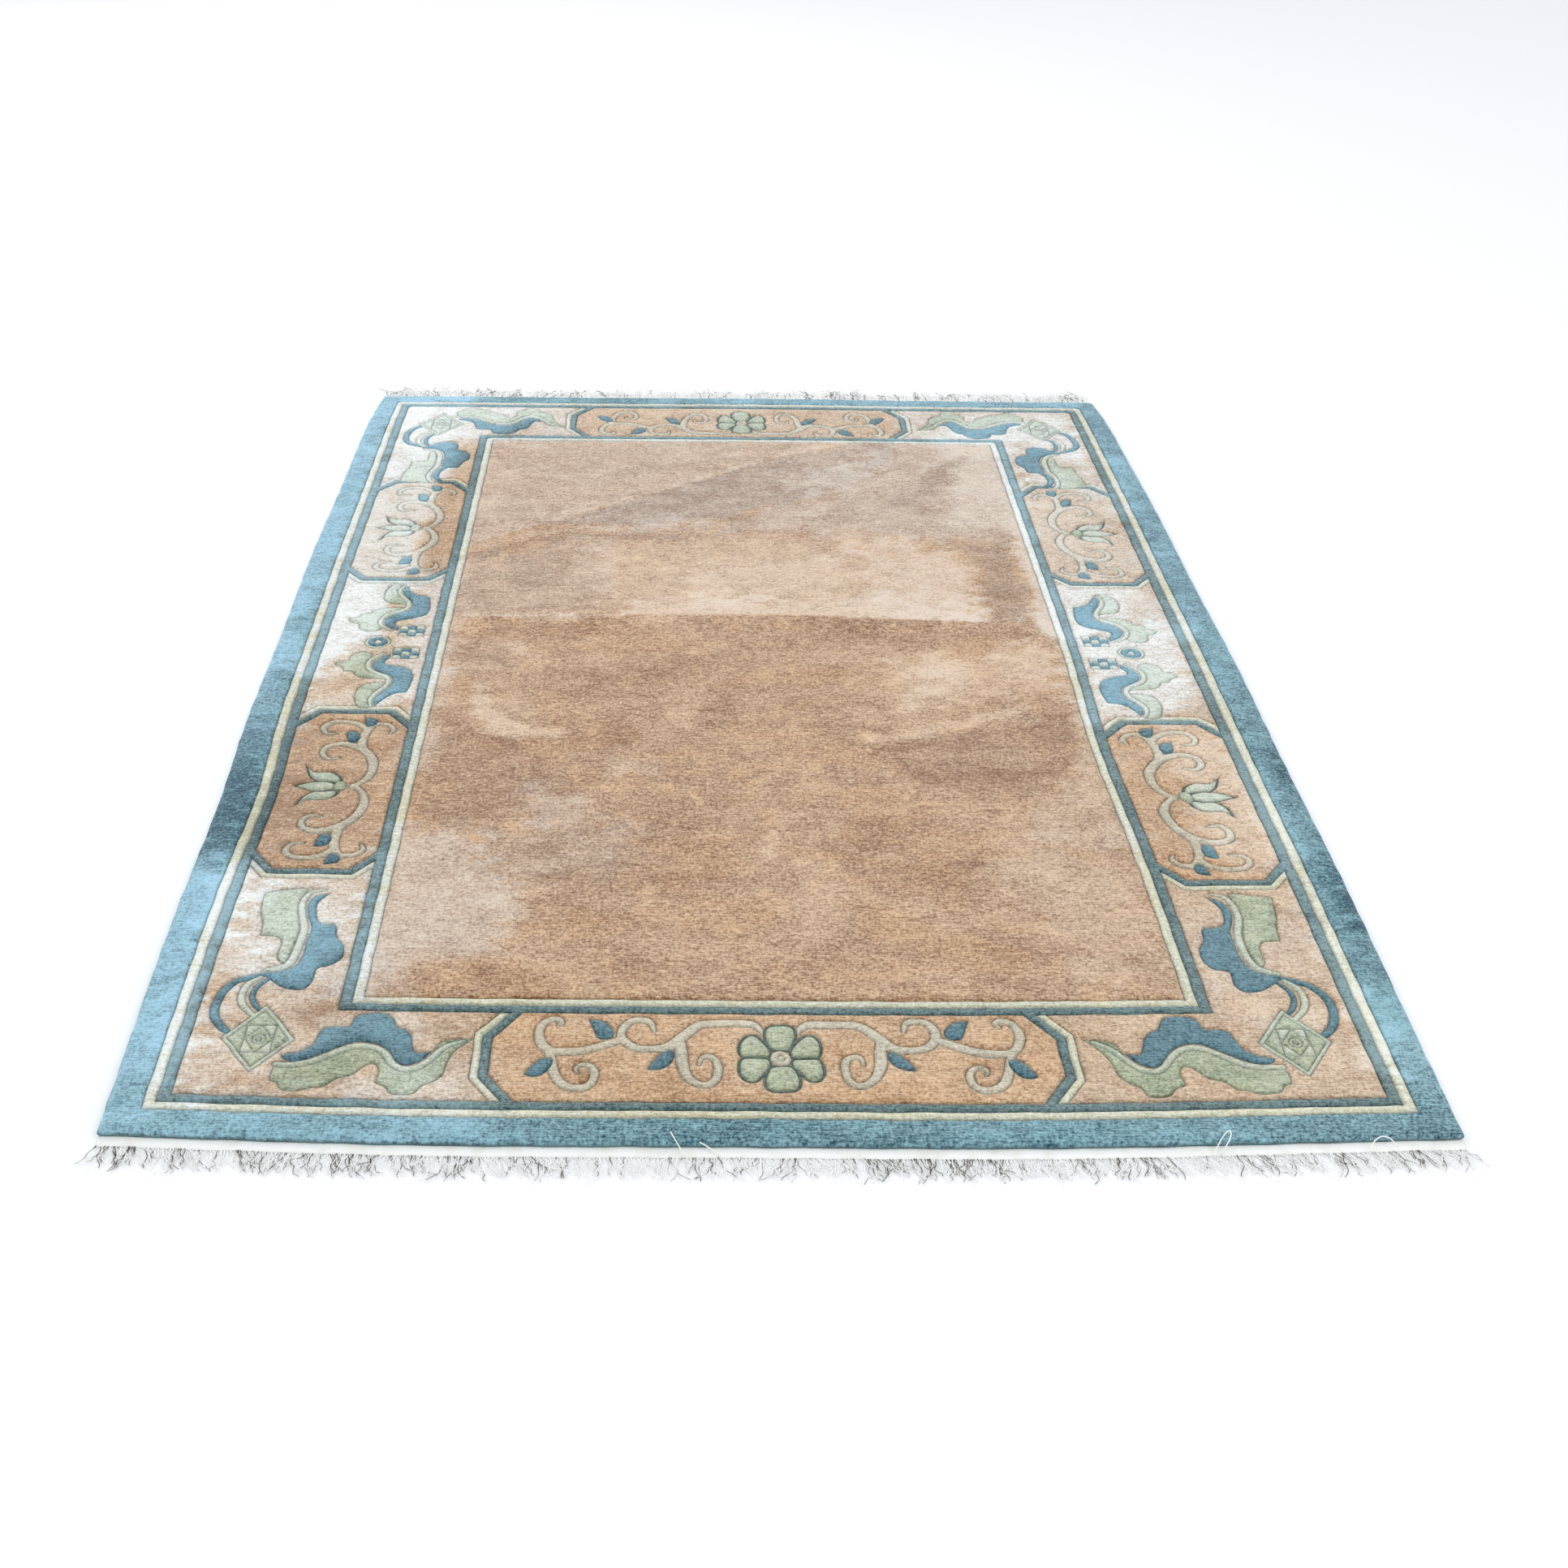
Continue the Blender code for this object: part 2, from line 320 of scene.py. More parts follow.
@dataclass(frozen=True)
class Carving:
    """The sheared grooves along each change of wool, and the shoulders of the pile."""

    pile_top: float = 0.0140
    depth: float = 0.0038
    half_width: float = 0.0040
    power: float = 1.4
    rails: tuple[float, ...] = (0.0010, 0.0023, 0.0040)
    shoulder_width: float = 0.0095
    shoulder_drop: float = 0.0045
    lumps: float = 0.00035
    line_step: float = 0.0040
    band_step: float = 0.0100
    grid_step: float = 0.0095

    def cut(self, distance: np.ndarray) -> np.ndarray:
        """How much of a groove there is at a distance from its line, from 0 to 1."""
        return np.clip(1.0 - distance / self.half_width, 0.0, 1.0) ** self.power

    def shoulder(self, inset: np.ndarray) -> np.ndarray:
        """How far the pile drops at a distance in from its edge."""
        return self.shoulder_drop * np.clip(1.0 - inset / self.shoulder_width, 0.0, 1.0) ** 2


# The knotted design


@dataclass(frozen=True)
class BorderPlan:
    """The bands of the border, as in the solid model, and the cartouches set into them."""

    half_width: float = 0.850
    half_length: float = 1.200
    outer_band: float = 0.0445
    guard_cream: float = 0.0150
    guard_blue: float = 0.0160
    ground: float = 0.1842
    end_to_side: float = 0.897
    end_half: float = 0.373
    end_centre: float = -0.005
    end_chamfer: Point = (0.036, 0.048)
    side_half: float = 0.217
    side_chamfer: Point = (0.044, 0.036)
    side_centres: tuple[Point, ...] = ((-1, -0.440), (-1, 0.490), (1, -0.457), (1, 0.492))
    bracket_blue: float = 0.013
    bracket_cream: float = 0.011

    def half_sizes(self, inset: float) -> Point:
        """Half sizes of the rectangle whose long sides lie a distance in from the edge."""
        return self.half_width - inset, self.half_length - inset * self.end_to_side

    @property
    def ground_outer(self) -> Point:
        """Half sizes of the ground's outer edge."""
        return self.half_sizes(self.outer_band + self.guard_cream + self.guard_blue)

    @property
    def ground_inner(self) -> Point:
        """Half sizes of the ground's inner edge."""
        inset = self.outer_band + self.guard_cream + self.guard_blue + self.ground
        return self.half_sizes(inset)

    @property
    def ground_middle(self) -> Point:
        """Half sizes of the line along the middle of the ground."""
        outer, inner = self.ground_outer, self.ground_inner
        return (outer[0] + inner[0]) / 2, (outer[1] + inner[1]) / 2

    def bands(self) -> list[Patch]:
        """The nested rectangles from the outer band to the field."""
        inset, patches = 0.0, []
        for wool, width in (
            (Wool.SLATE, self.outer_band),
            (Wool.CREAM, self.guard_cream),
            (Wool.GUARD, self.guard_blue),
            (Wool.ROSE, self.ground),
            (Wool.GUARD, self.guard_blue),
            (Wool.CREAM, self.guard_cream),
            (Wool.TAN, 0.0),
        ):
            patches.append(Patch(rectangle(*self.half_sizes(inset)), wool))
            inset += width
        return patches

    def panel(
        self, half: float, outer: float, inner: float, chamfer: Point, grow: float
    ) -> np.ndarray:
        """A chamfered cartouche outline with its closing lines moved out.

        Args:
            half: Half its length along the border.
            outer: Distance of the ground's outer edge from the carpet's middle.
            inner: Distance of the ground's inner edge.
            chamfer: Size of a chamfer along the border and across it.
            grow: How far the closing lines are moved out.

        Returns:
            Rows of a place along the border and a distance from the carpet's middle.
        """
        along, across = chamfer
        slope = math.hypot(along, across)
        start = half - along + grow * slope / across
        turn = across - grow * (slope - across) / along
        tip = half + grow
        right = [(start, outer), (tip, outer - turn), (tip, inner + turn), (start, inner)]
        return np.array(right + [(-a, b) for a, b in reversed(right)])

    def cartouches(self) -> list[Patch]:
        """All six cartouches: cream line, blue line and peach ground."""
        patches = []
        steps = (
            (self.bracket_blue + self.bracket_cream, Wool.CREAM),
            (self.bracket_blue, Wool.GUARD),
            (0.0, Wool.PEACH),
        )
        for grow, wool in steps:
            outer, inner = self.ground_outer[1], self.ground_inner[1]
            shape = self.panel(self.end_half, outer, inner, self.end_chamfer, grow)
            for end in End:
                outline = np.stack((self.end_centre + shape[:, 0], end.value * shape[:, 1]), axis=1)
                patches.append(Patch(outline, wool))
            outer, inner = self.ground_outer[0], self.ground_inner[0]
            shape = self.panel(self.side_half, outer, inner, self.side_chamfer, grow)
            for side, centre in self.side_centres:
                outline = np.stack((side * shape[:, 1], centre + shape[:, 0]), axis=1)
                patches.append(Patch(outline, wool))
        return patches


@dataclass(frozen=True)
class Spray:
    """Motifs of the border, drawn once in the space of their panel and knotted in each panel.

    Outlines are drawn in millimetres: along the border, and outward from the middle of its
    ground, with the width of a vine as a third number. A scroll and the ribbons are drawn for one
    half of a panel and turned over for the other. A corner is drawn in distances from the
    carpet's middle.
    """

    plan: BorderPlan = field(default_factory=BorderPlan)
    knotting_spread: float = 0.0009
    drift_waves: int = 4
    drift_quickness: float = 60.0
    end_middle: float = 0.001
    side_vine: float = 1.32
    flower_place: Point = (0.0, 0.001)
    petal_shares: Point = (0.95, 0.96)
    petal_gap: float = 0.0012
    petal_rim: float = 0.0036
    heart_radii: Point = (0.0135, 0.0050)
    lotus_rim: float = 1.15
    checker_pitch: Point = (0.0125, 0.0155)
    checker_place: Point = (0.041, -0.056)
    ribbon_middle: Point = (0.012, -0.010)
    coin_radii: Scale = (0.0225, 0.0165, 0.0065)
    lozenge_place: Point = (0.685, 1.027)
    lozenge_half: Point = (0.050, 0.064)
    lozenge_rings: Scale = (1.0, 0.84, 0.40)
    lozenge_radii: Point = (0.0095, 0.0045)
    seed: int = 11

    def end_scroll(self) -> list[Patch]:
        """Half of an end cartouche's scrolling vine with its leaves."""
        vine = mm3(22, -46, 8, 33, -60, 13, 42, -63, 15, 99, -63, 15, 110, -59, 16, 122, -46, 17,
            134, -33, 18, 147, -19, 17, 157, -15, 15, 186, -15, 14, 200, -24, 15, 209, -37, 14,
            208, -54, 13, 199, -67, 12, 191, -70, 12, 174, -70, 12, 168, -62, 10, 166, -49, 6)
        tip = mm3(210, -33, 13, 225, -25, 15, 243, -16, 15, 264, -9, 15, 300, -8, 15, 313, -19, 15,
            320, -39, 14, 319, -55, 13, 310, -68, 12, 296, -72, 11, 288, -64, 9, 296, -57, 6)
        first_curl = mm3(134, -33, 15, 131, -12, 17, 129, 14, 16, 121, 38, 14, 108, 50, 13,
            94, 51, 13, 84, 39, 12, 81, 19, 12, 84, 4, 11, 95, -3, 10, 105, 0, 8, 107, 14, 5)
        second_curl = mm3(302, -6, 13, 298, 9, 15, 295, 29, 14, 288, 47, 14, 276, 58, 13,
            258, 60, 13, 246, 51, 12, 242, 33, 12, 247, 19, 11, 259, 15, 9, 269, 24, 7, 264, 34, 4)
        leaves = (
            mm(255, -71, 255, -71, 238, -70, 227, -63, 218, -47, 222, -36, 238, -33, 246, -49),
            mm(175, 25, 175, 25, 158, 24, 144, 13, 139, -3, 142, -13, 154, -9, 167, 7),
            mm(332, 33, 332, 33, 322, 38, 309, 35, 297, 17, 296, 4, 311, 2, 322, 15),
        )
        lines = [ribbon(line, Wool.ASH) for line in (first_curl, second_curl, vine, tip)]
        return lines + [blob(leaf, Wool.TEAL) for leaf in leaves]

    def flower(self) -> list[Patch]:
        """The six-petalled flower in the middle of an end cartouche."""
        tall = mm(-11, 15, -16, 22, -21, 40, -19, 55, -11, 61, 11, 61, 19, 55, 21, 40, 16, 22,
            11, 15)
        wide = mm(15, 1, 34, 1, 53, 1, 56, 12, 55, 30, 47, 42, 36, 43, 23, 25, 15, 12)
        centre = np.array(self.flower_place)
        share_x, share_y = self.petal_shares
        petals = []
        for x in (-1, 1):
            petals.append(tall * (1, x) + centre)
            for y in (-1, 1):
                turned = wide * (share_x * x, share_y * y) + (0.0, self.petal_gap * y)
                petals.append(turned + centre)
        rims = [blob(grown(petal, self.petal_rim), Wool.MOSS) for petal in petals]
        faces = [blob(petal, Wool.CELADON) for petal in petals]
        wools = (Wool.ASH, Wool.PALE)
        hearts = [disc(*centre, radius, wool) for radius, wool in zip(self.heart_radii, wools)]
        return rims + faces + hearts

    def lotus(self) -> list[Patch]:
        """The lotus in the middle of a side cartouche."""
        middle = mm(0, 66, 0, 66, 12, 41, 13, 16, 4, -4, -4, -4, -13, 16, -12, 41)
        outer = mm(53.5, 54, 53.5, 54, 37, 40, 41, 16, 28, -2, 11, -5, 16, 16, 15, 33, 30, 47)
        petals = (outer, outer * (-1, 1), middle)
        hearts = [petal.mean(axis=0) for petal in petals]
        rims = [heart + (petal - heart) * self.lotus_rim for heart, petal in zip(hearts, petals)]
        patches = [blob(rim, Wool.MOSS) for rim in rims]
        patches += [blob(petal, Wool.PALE) for petal in petals]
        cup = mm(17, -6, 10, 2, -10, 2, -17, -6, -10, -18, 10, -18)
        return patches + [blob(cup, Wool.CELADON)]

    def side_scroll(self) -> list[Patch]:
        """Half of a side cartouche's vine with its leaves."""
        vine = mm3(-4, -26, 9, 4, -34, 9, 16, -45, 10, 40, -52, 12, 70, -49, 13, 97, -37, 13,
            116, -15, 12, 124, 10, 11, 115, 33, 10, 94, 38, 9, 77, 26, 7, 82, 6, 4)
        branch = mm3(104, -31, 9, 118, -24, 12, 141, -22, 12, 165, -26, 12, 183, -36, 10,
            184, -58, 9, 169, -71, 8, 154, -64, 4)
        curl = mm3(166, -25, 9, 184, -12, 10, 192, 9, 10, 190, 35, 9, 174, 49, 9, 155, 41, 7,
            153, 21, 4)
        leaves = (
            mm(162, 6, 162, 6, 160, -12, 141, -19, 125, -12, 131, 1, 147, 5),
            mm(206, -18, 206, -18, 201, -40, 182, -38, 173, -26, 190, -18),
        )
        wider = (1.0, 1.0, self.side_vine)
        lines = [ribbon(line * wider, Wool.ASH) for line in (curl, branch, vine)]
        return lines + [blob(leaf, Wool.TEAL) for leaf in leaves]

    def checkers(self) -> list[Patch]:
        """A small chequered block of nine squares."""
        pitch = np.array(self.checker_pitch)
        patches = []
        for row in (-1, 0, 1):
            for column in (-1, 0, 1):
                centre = np.array(self.checker_place) + np.array((row, column)) * pitch
                wool = Wool.TEAL if (row + column) % 2 == 1 else Wool.PALE
                patches.append(Patch(rectangle(*(pitch / 2)) + centre, wool))
        return patches

    def side_ribbons(self) -> list[Patch]:
        """Half of the ribbons between two side cartouches."""
        upper_leaf = mm(224, -22, 227, -4, 214, 8, 190, 14, 164, 12, 150, 4, 144, -12, 142, -34,
            160, -36, 180, -24)
        lower_leaf = mm(132, -32, 128, -10, 126, 10, 116, 24, 104, 28, 104, 44, 90, 48, 82, 64,
            82, 64, 70, 56, 66, 42, 50, 42, 38, 28, 38, 10, 52, 0, 78, 6, 100, 0, 116, -20)
        edging = mm3(221, -21, 5, 198, -13, 9, 176, -20, 10, 157, -34, 10, 138, -39, 10,
            122, -33, 10, 111, -17, 10, 99, 1, 10, 79, 8, 10, 58, 1, 9, 41, -19, 6)
        tail = mm(217, -26, 217, -26, 197, -20, 178, -27, 160, -40, 139, -46, 119, -41, 107, -23,
            96, -7, 79, 0, 61, -7, 44, -28, 44, -28, 56, -30, 68, -20, 78, -23, 84, -42, 91, -60,
            102, -73, 124, -79, 150, -77, 174, -72, 174, -72, 176, -56, 186, -43, 200, -34)
        patches = [blob(upper_leaf, Wool.CELADON), blob(lower_leaf, Wool.CELADON)]
        patches += [ribbon(edging, Wool.PALE), blob(tail, Wool.TEAL)]
        return patches + self.checkers()

    def coin(self) -> list[Patch]:
        """The small ring between the ribbons."""
        wools = (Wool.PALE, Wool.TEAL, Wool.CREAM)
        return [disc(0.0, 0.0, radius, wool) for radius, wool in zip(self.coin_radii, wools)]

    def corner(self) -> list[Patch]:
        """A corner's tied lozenge with its ribbons."""
        block = mm(738, 716, 738, 716, 700, 709, 672, 706, 684, 735, 684, 765, 674, 798, 673, 845,
            680, 877, 692, 866, 690, 830, 698, 817, 724, 817, 724, 817, 726, 786, 734, 764)
        side_cloud = mm(642, 716, 642, 716, 661, 724, 672, 745, 668, 768, 656, 792, 658, 822,
            656, 852, 664, 880, 688, 892, 706, 896, 692, 909, 670, 926, 645, 929, 634, 912,
            636, 884, 614, 878, 603, 858, 604, 832, 618, 814, 620, 787, 642, 788, 655, 774,
            659, 745, 650, 728)
        side_edge = mm3(650, 708, 6, 670, 714, 9, 680, 742, 11, 677, 768, 11, 666, 795, 12,
            666, 850, 12, 675, 880, 12, 704, 890, 10)
        green_tail = mm(656, 1074, 658, 1104, 646, 1106, 640, 1120, 616, 1123, 600, 1114, 586, 1113,
            572, 1097, 552, 1093, 536, 1072, 524, 1068, 516, 1082, 521, 1104, 505, 1109, 498, 1124,
            470, 1124, 464, 1106, 448, 1098, 436, 1085, 434, 1066, 424, 1040, 402, 1016, 402, 1016,
            440, 1021, 450, 1038, 456, 1056, 472, 1070, 490, 1073, 504, 1064, 516, 1044, 530, 1031,
            547, 1028, 564, 1034, 582, 1046, 606, 1061, 630, 1069)
        end_cloud = mm(651, 1056, 628, 1050, 613, 1039, 607, 1021, 604, 1003, 586, 998, 568, 1000,
            565, 981, 553, 974, 525, 973, 513, 983, 508, 998, 495, 1003, 486, 1015, 482, 1033,
            475, 1048, 454, 1044, 454, 1044, 468, 1062, 486, 1070, 500, 1061, 512, 1041, 527, 1029,
            545, 1025, 563, 1029, 581, 1041, 605, 1056, 624, 1065, 642, 1066)
        end_edge = mm3(656, 1073, 9, 630, 1073, 11, 605, 1065, 11, 581, 1050, 11, 563, 1038, 11,
            545, 1033, 11, 527, 1037, 11, 513, 1051, 11, 501, 1069, 11, 486, 1078, 11,
            468, 1072, 11, 451, 1054, 10, 438, 1035, 9, 414, 1021, 6)
        outer_tie = mm3(694, 894, 8, 716, 903, 10, 739, 914, 11, 754, 938, 12, 755, 966, 12,
            750, 990, 12, 738, 1008, 11, 722, 1018, 9)
        pale_tie = mm3(706, 902, 7, 722, 920, 11, 725, 945, 11, 717, 966, 10, 700, 982, 8)
        inner_tie = mm3(694, 904, 6, 707, 922, 8, 710, 944, 8, 703, 962, 8, 690, 974, 6)
        patches = [blob(green_tail, Wool.CELADON), blob(end_cloud, Wool.TEAL)]
        patches += [ribbon(end_edge, Wool.PALE), blob(block, Wool.CELADON)]
        patches += [ribbon(side_edge, Wool.PALE), blob(side_cloud, Wool.TEAL)]
        patches += [ribbon(outer_tie, Wool.TEAL), ribbon(inner_tie, Wool.TEAL)]
        return patches + [ribbon(pale_tie, Wool.PALE)] + self.lozenge()

    def lozenge(self) -> list[Patch]:
        """Nested diamonds and a panel round a small disc."""
        place, half = self.lozenge_place, np.array(self.lozenge_half)
        outer, middle, inner = self.lozenge_rings

        def diamond(share: float, wool: Wool) -> Patch:
            turned = np.array(((-1, 0), (0, -1), (1, 0), (0, 1)))
            return Patch(turned * (half * share) + place, wool)

        panel = Patch(rectangle(*(half * inner)) + place, Wool.PALE)
        rings = [diamond(outer, Wool.PALE), diamond(middle, Wool.CELADON), panel]
        rings.append(diamond(inner, Wool.CELADON))
        discs = zip(self.lozenge_radii, (Wool.PALE, Wool.CELADON))
        return rings + [disc(*place, radius, wool) for radius, wool in discs]

    def uneven(self, patches: Iterable[Patch], copy: int) -> list[Patch]:
        """The same patches with the small drift of outline that each hand-knotted copy has."""
        drift = np.random.default_rng(self.seed + copy)
        waves = drift.uniform(-1.0, 1.0, (self.drift_waves, 2)) * self.drift_quickness
        turns = drift.uniform(0.0, 2 * np.pi, self.drift_waves)
        pushes = drift.uniform(-1.0, 1.0, (self.drift_waves, 2)) * self.knotting_spread

        def push(points: np.ndarray) -> np.ndarray:
            return points + np.sin(points @ waves.T + turns) @ pushes

        return [patch.moved(push) for patch in patches]

    def patches(self) -> list[Patch]:
        """Every motif, put in its place in the border."""
        middle_x, middle_y = self.plan.ground_middle
        end_half, side_half = self.end_scroll(), self.side_scroll()
        ribbon_half = self.side_ribbons()
        placed: list[Patch] = []
        copy = 0
        for end in End:
            def at_end(points: np.ndarray, turn: int = 1, end: End = end) -> np.ndarray:
                along = self.end_middle + turn * points[:, 0]
                return np.stack((along, end.value * (middle_y + points[:, 1])), axis=1)

            for turn in (-1, 1):
                copy += 1
                placed += self.uneven([p.moved(lambda q: at_end(q, turn)) for p in end_half], copy)
            placed += self.uneven([p.moved(at_end) for p in self.flower()], copy)
        panels = [(side_half, self.lotus(), *place) for place in self.plan.side_centres]
        middle, skew = self.ribbon_middle
        panels += [(ribbon_half, self.coin(), side, middle + skew * side) for side in (-1, 1)]
        for half, heart, side, centre in panels:
            def at_side(
                points: np.ndarray, turn: int = 1, side: float = side, centre: float = centre
            ) -> np.ndarray:
                x = side * (middle_x + points[:, 1])
                return np.stack((x, centre + turn * points[:, 0]), axis=1)

            for turn in (-1, 1):
                copy += 1
                placed += self.uneven([p.moved(lambda q: at_side(q, turn)) for p in half], copy)
            placed += self.uneven([p.moved(at_side) for p in heart], copy)
        for end in End:
            for side in (-1, 1):
                copy += 1
                signs = np.array((side, end.value))
                placed += self.uneven([p.moved(lambda q: q * signs) for p in self.corner()], copy)
        return placed


# Finishes


@dataclass
class Graph:
    """A shader or geometry node tree that is built one node at a time."""

    tree: bpy.types.NodeTree

    def add(self, kind: str, inputs: dict | None = None, **settings: object) -> bpy.types.Node:
        """Adds a node.

        Args:
            kind: Its type name.
            inputs: Values or sockets for its inputs, by name or number.
            **settings: Properties of the node.

        Returns:
            The new node.
        """
        node = self.tree.nodes.new(kind)
        for name, value in settings.items():
            setattr(node, name, value)
        for name, value in (inputs or {}).items():
            self.feed(node.inputs[name], value)
        return node

    def feed(self, socket: Socket, value: object) -> None:
        """Links a socket to an input, or sets its value."""
        if isinstance(value, Socket):
            self.tree.links.new(value, socket)
        else:
            socket.default_value = value

    def maths(self, operation: str, *values: object, clamp: bool = False) -> Socket:
        """The result of a Math node."""
        inputs = dict(enumerate(values))
        node = self.add("ShaderNodeMath", inputs, operation=operation, use_clamp=clamp)
        return node.outputs[0]

    def mixed(self, share: object, first: object, second: object, blend: str = "MIX") -> Socket:
        """The colour of a Mix node."""
        node = self.add("ShaderNodeMix", data_type="RGBA", blend_type=blend, clamp_factor=True)
        self.feed(node.inputs[0], share)
        self.feed(node.inputs[6], first)
        self.feed(node.inputs[7], second)
        return node.outputs[2]

    def ranged(
        self, value: object, low: float, high: float, to_low: float, to_high: float
    ) -> Socket:
        """A value moved smoothly from one range to another."""
        inputs = {0: value, 1: low, 2: high, 3: to_low, 4: to_high}
        node = self.add("ShaderNodeMapRange", inputs, interpolation_type="SMOOTHSTEP")
        return node.outputs[0]

    def place(self) -> Socket:
        """The coordinates of the object itself, in metres."""
        return self.add("ShaderNodeTexCoord").outputs["Object"]

    def noise(self, place: Socket, scale: Scale, detail: float, twist: float = 0.0) -> Socket:
        """A Noise texture on coordinates that are first scaled along each axis."""
        mapping = self.add("ShaderNodeMapping", {"Vector": place, "Scale": tuple(scale)})
        inputs = {"Vector": mapping.outputs[0], "Scale": 1.0, "Detail": detail, "Distortion": twist}
        return self.add("ShaderNodeTexNoise", inputs).outputs[0]

    def bump(self, shader: bpy.types.Node, strength: float, depth: float, height: Socket) -> None:
        """Gives a shader a relief of a certain depth in metres."""
        inputs = {"Strength": strength, "Distance": depth, "Height": height}
        node = self.add("ShaderNodeBump", inputs)
        self.feed(shader.inputs["Normal"], node.outputs[0])


def new_material(
    name: str, inputs: dict[str, object]
) -> tuple[bpy.types.Material, Graph, bpy.types.Node]:
    """A material with its graph and its Principled node, some of whose inputs are set."""
    material = bpy.data.materials.new(name)
    material.use_nodes = True
    shader = material.node_tree.nodes["Principled BSDF"]
    for key, value in inputs.items():
        shader.inputs[key].default_value = value
    return material, Graph(material.node_tree), shader


# How much each noise weighs in the pile's tone, in the painted sheen that pales its tone and in its
# relief
TONE_WEIGHTS = {
    "mottle": 1.4, "patches": 1.45, "fine": 1.35, "abrash": 0.7,
    "streaks": 2.3, "grain": 2.8, "tufts": 2.4, "rows": 0.55,
}
PAINTED_SHEEN_WEIGHTS = {"mottle": 0.6, "patches": 0.8, "streaks": 0.8, "fine": 0.8, "grain": 0.8}
RELIEF_WEIGHTS = {"streaks": 1.1, "grain": 1.0, "tufts": 0.8, "fine": 0.6, "rows": 0.20}

# Painted shade colours that darken a dye they are multiplied into: in the painted sheen, in the
# carved grooves and in the troughs of the ribs; and the tone of the bare warps
PALE_SHADOW = (0.56, 0.54, 0.53, 1.0)
GROOVE_SHADOW = (0.13, 0.17, 0.18, 1.0)
RIB_SHADOW = (0.62, 0.60, 0.55, 1.0)
WARP_TONE = (0.55, 0.50, 0.42, 1.0)

COTTON_SHINE = {"Roughness": 0.85, "Specular IOR Level": 0.2}


@dataclass(frozen=True)
class WoolFinish:
    """Cut wool pile of one dye lot.

    The pile's attributes hold its painted light and shade (lean), how far a painted sheen pales its
    tone (bloom), and how near a carved groove it is (groove), which sets a painted groove shadow.
    The scales are waves per metre along each axis.
    """

    name: str
    dark: Colour
    light: Colour
    # The colour of the painted sheen
    pale: Colour
    mottle: float = 1.0
    stray: Colour = (255, 234, 202)
    full_lean: float = 1.7
    stray_share: float = 0.30
    painted_groove_shadow: float = 0.62
    bump: float = 0.80
    relief: float = 0.0022
    row_pitch: float = 0.0042
    row_wobble: float = 14.0
    fine_scale: Scale = (75.0, 120.0, 60.0)
    streak_scale: Scale = (95.0, 290.0, 90.0)
    grain_scale: Scale = (230.0, 170.0, 150.0)
    tuft_scale: Scale = (430.0, 430.0, 430.0)
    patch_scale: Scale = (24.0, 36.0, 20.0)
    mottle_scale: Scale = (9.0, 11.0, 10.0)
    abrash_scale: Scale = (2.2, 30.0, 1.0)
    hue_scale: Scale = (4.0, 9.0, 4.0)

    def summed(
        self, graph: Graph, noises: dict[str, Socket], weights: dict[str, float]
    ) -> Socket | float:
        """Adds up noises round their middle value, each times its weight."""
        total = 0.0
        for name, weight in weights.items():
            level = graph.maths("SUBTRACT", noises[name], 0.5)
            total = graph.maths("MULTIPLY_ADD", level, weight, total)
        return total

    def material(self) -> bpy.types.Material:
        """Builds the shader: dye, painted light and shade from the lean, painted sheen, rows of
        knots, painted shadow in the carved grooves, and tufts.
        """
        shine = {"Roughness": 0.88, "Specular IOR Level": 0.12}
        shine |= {"Sheen Weight": 0.18, "Sheen Roughness": 0.55}
        material, graph, shader = new_material(self.name, shine)
        place = graph.place()
        lean, bloom, groove = (
            graph.add("ShaderNodeAttribute", attribute_name=name).outputs["Fac"]
            for name in ("lean", "bloom", "groove")
        )
        noises = {
            "mottle": graph.noise(place, self.mottle_scale, 4.0, 0.8),
            "patches": graph.noise(place, self.patch_scale, 3.0, 0.6),
            "fine": graph.noise(place, self.fine_scale, 3.0),
            "grain": graph.noise(place, self.grain_scale, 1.0),
            "streaks": graph.noise(place, self.streak_scale, 2.0, 0.4),
            "abrash": graph.noise(place, self.abrash_scale, 3.0),
            "tufts": graph.noise(place, self.tuft_scale, 2.0),
        }
        axes = graph.add("ShaderNodeSeparateXYZ", {0: place})
        turns = graph.maths("MULTIPLY", axes.outputs[1], 2 * math.pi / self.row_pitch)
        phase = graph.maths("MULTIPLY_ADD", noises["fine"], self.row_wobble, turns)
        noises["rows"] = graph.maths("MULTIPLY_ADD", graph.maths("SINE", phase), 0.5, 0.5)
        weights = dict(TONE_WEIGHTS)
        for name in ("mottle", "patches"):
            weights[name] *= self.mottle
        # The tone share: painted light and shade from the lean attribute, plus noise
        share = graph.maths("ADD", lean, self.summed(graph, noises, weights))
        light = graph.ranged(share, -self.full_lean, self.full_lean, 0.0, 1.0)
        dye = graph.mixed(light, linear(self.dark), linear(self.light))
        hue = graph.noise(place, self.hue_scale, 4.0, 1.0)
        patchy = graph.maths("SUBTRACT", noises["patches"], 0.5)
        hue = graph.maths("MULTIPLY_ADD", patchy, 0.5, hue)
        stray = graph.ranged(hue, 0.42, 0.66, 0.0, self.stray_share)
        dye = graph.mixed(stray, dye, linear(self.stray), "MULTIPLY")
        # Painted sheen, broken up by noise, pales the dye towards the pale colour, which is darker
        # where the painted shade is
        ragged = self.summed(graph, noises, PAINTED_SHEEN_WEIGHTS)
        painted_sheen_share = graph.maths("MULTIPLY_ADD", bloom, graph.maths("ADD", ragged, 1.0), 0.0, clamp=True)
        dark = graph.ranged(share, -self.full_lean, self.full_lean, 1.0, 0.0)
        painted_sheen_tone = graph.mixed(dark, linear(self.pale), PALE_SHADOW, "MULTIPLY")
        dye = graph.mixed(painted_sheen_share, dye, painted_sheen_tone)
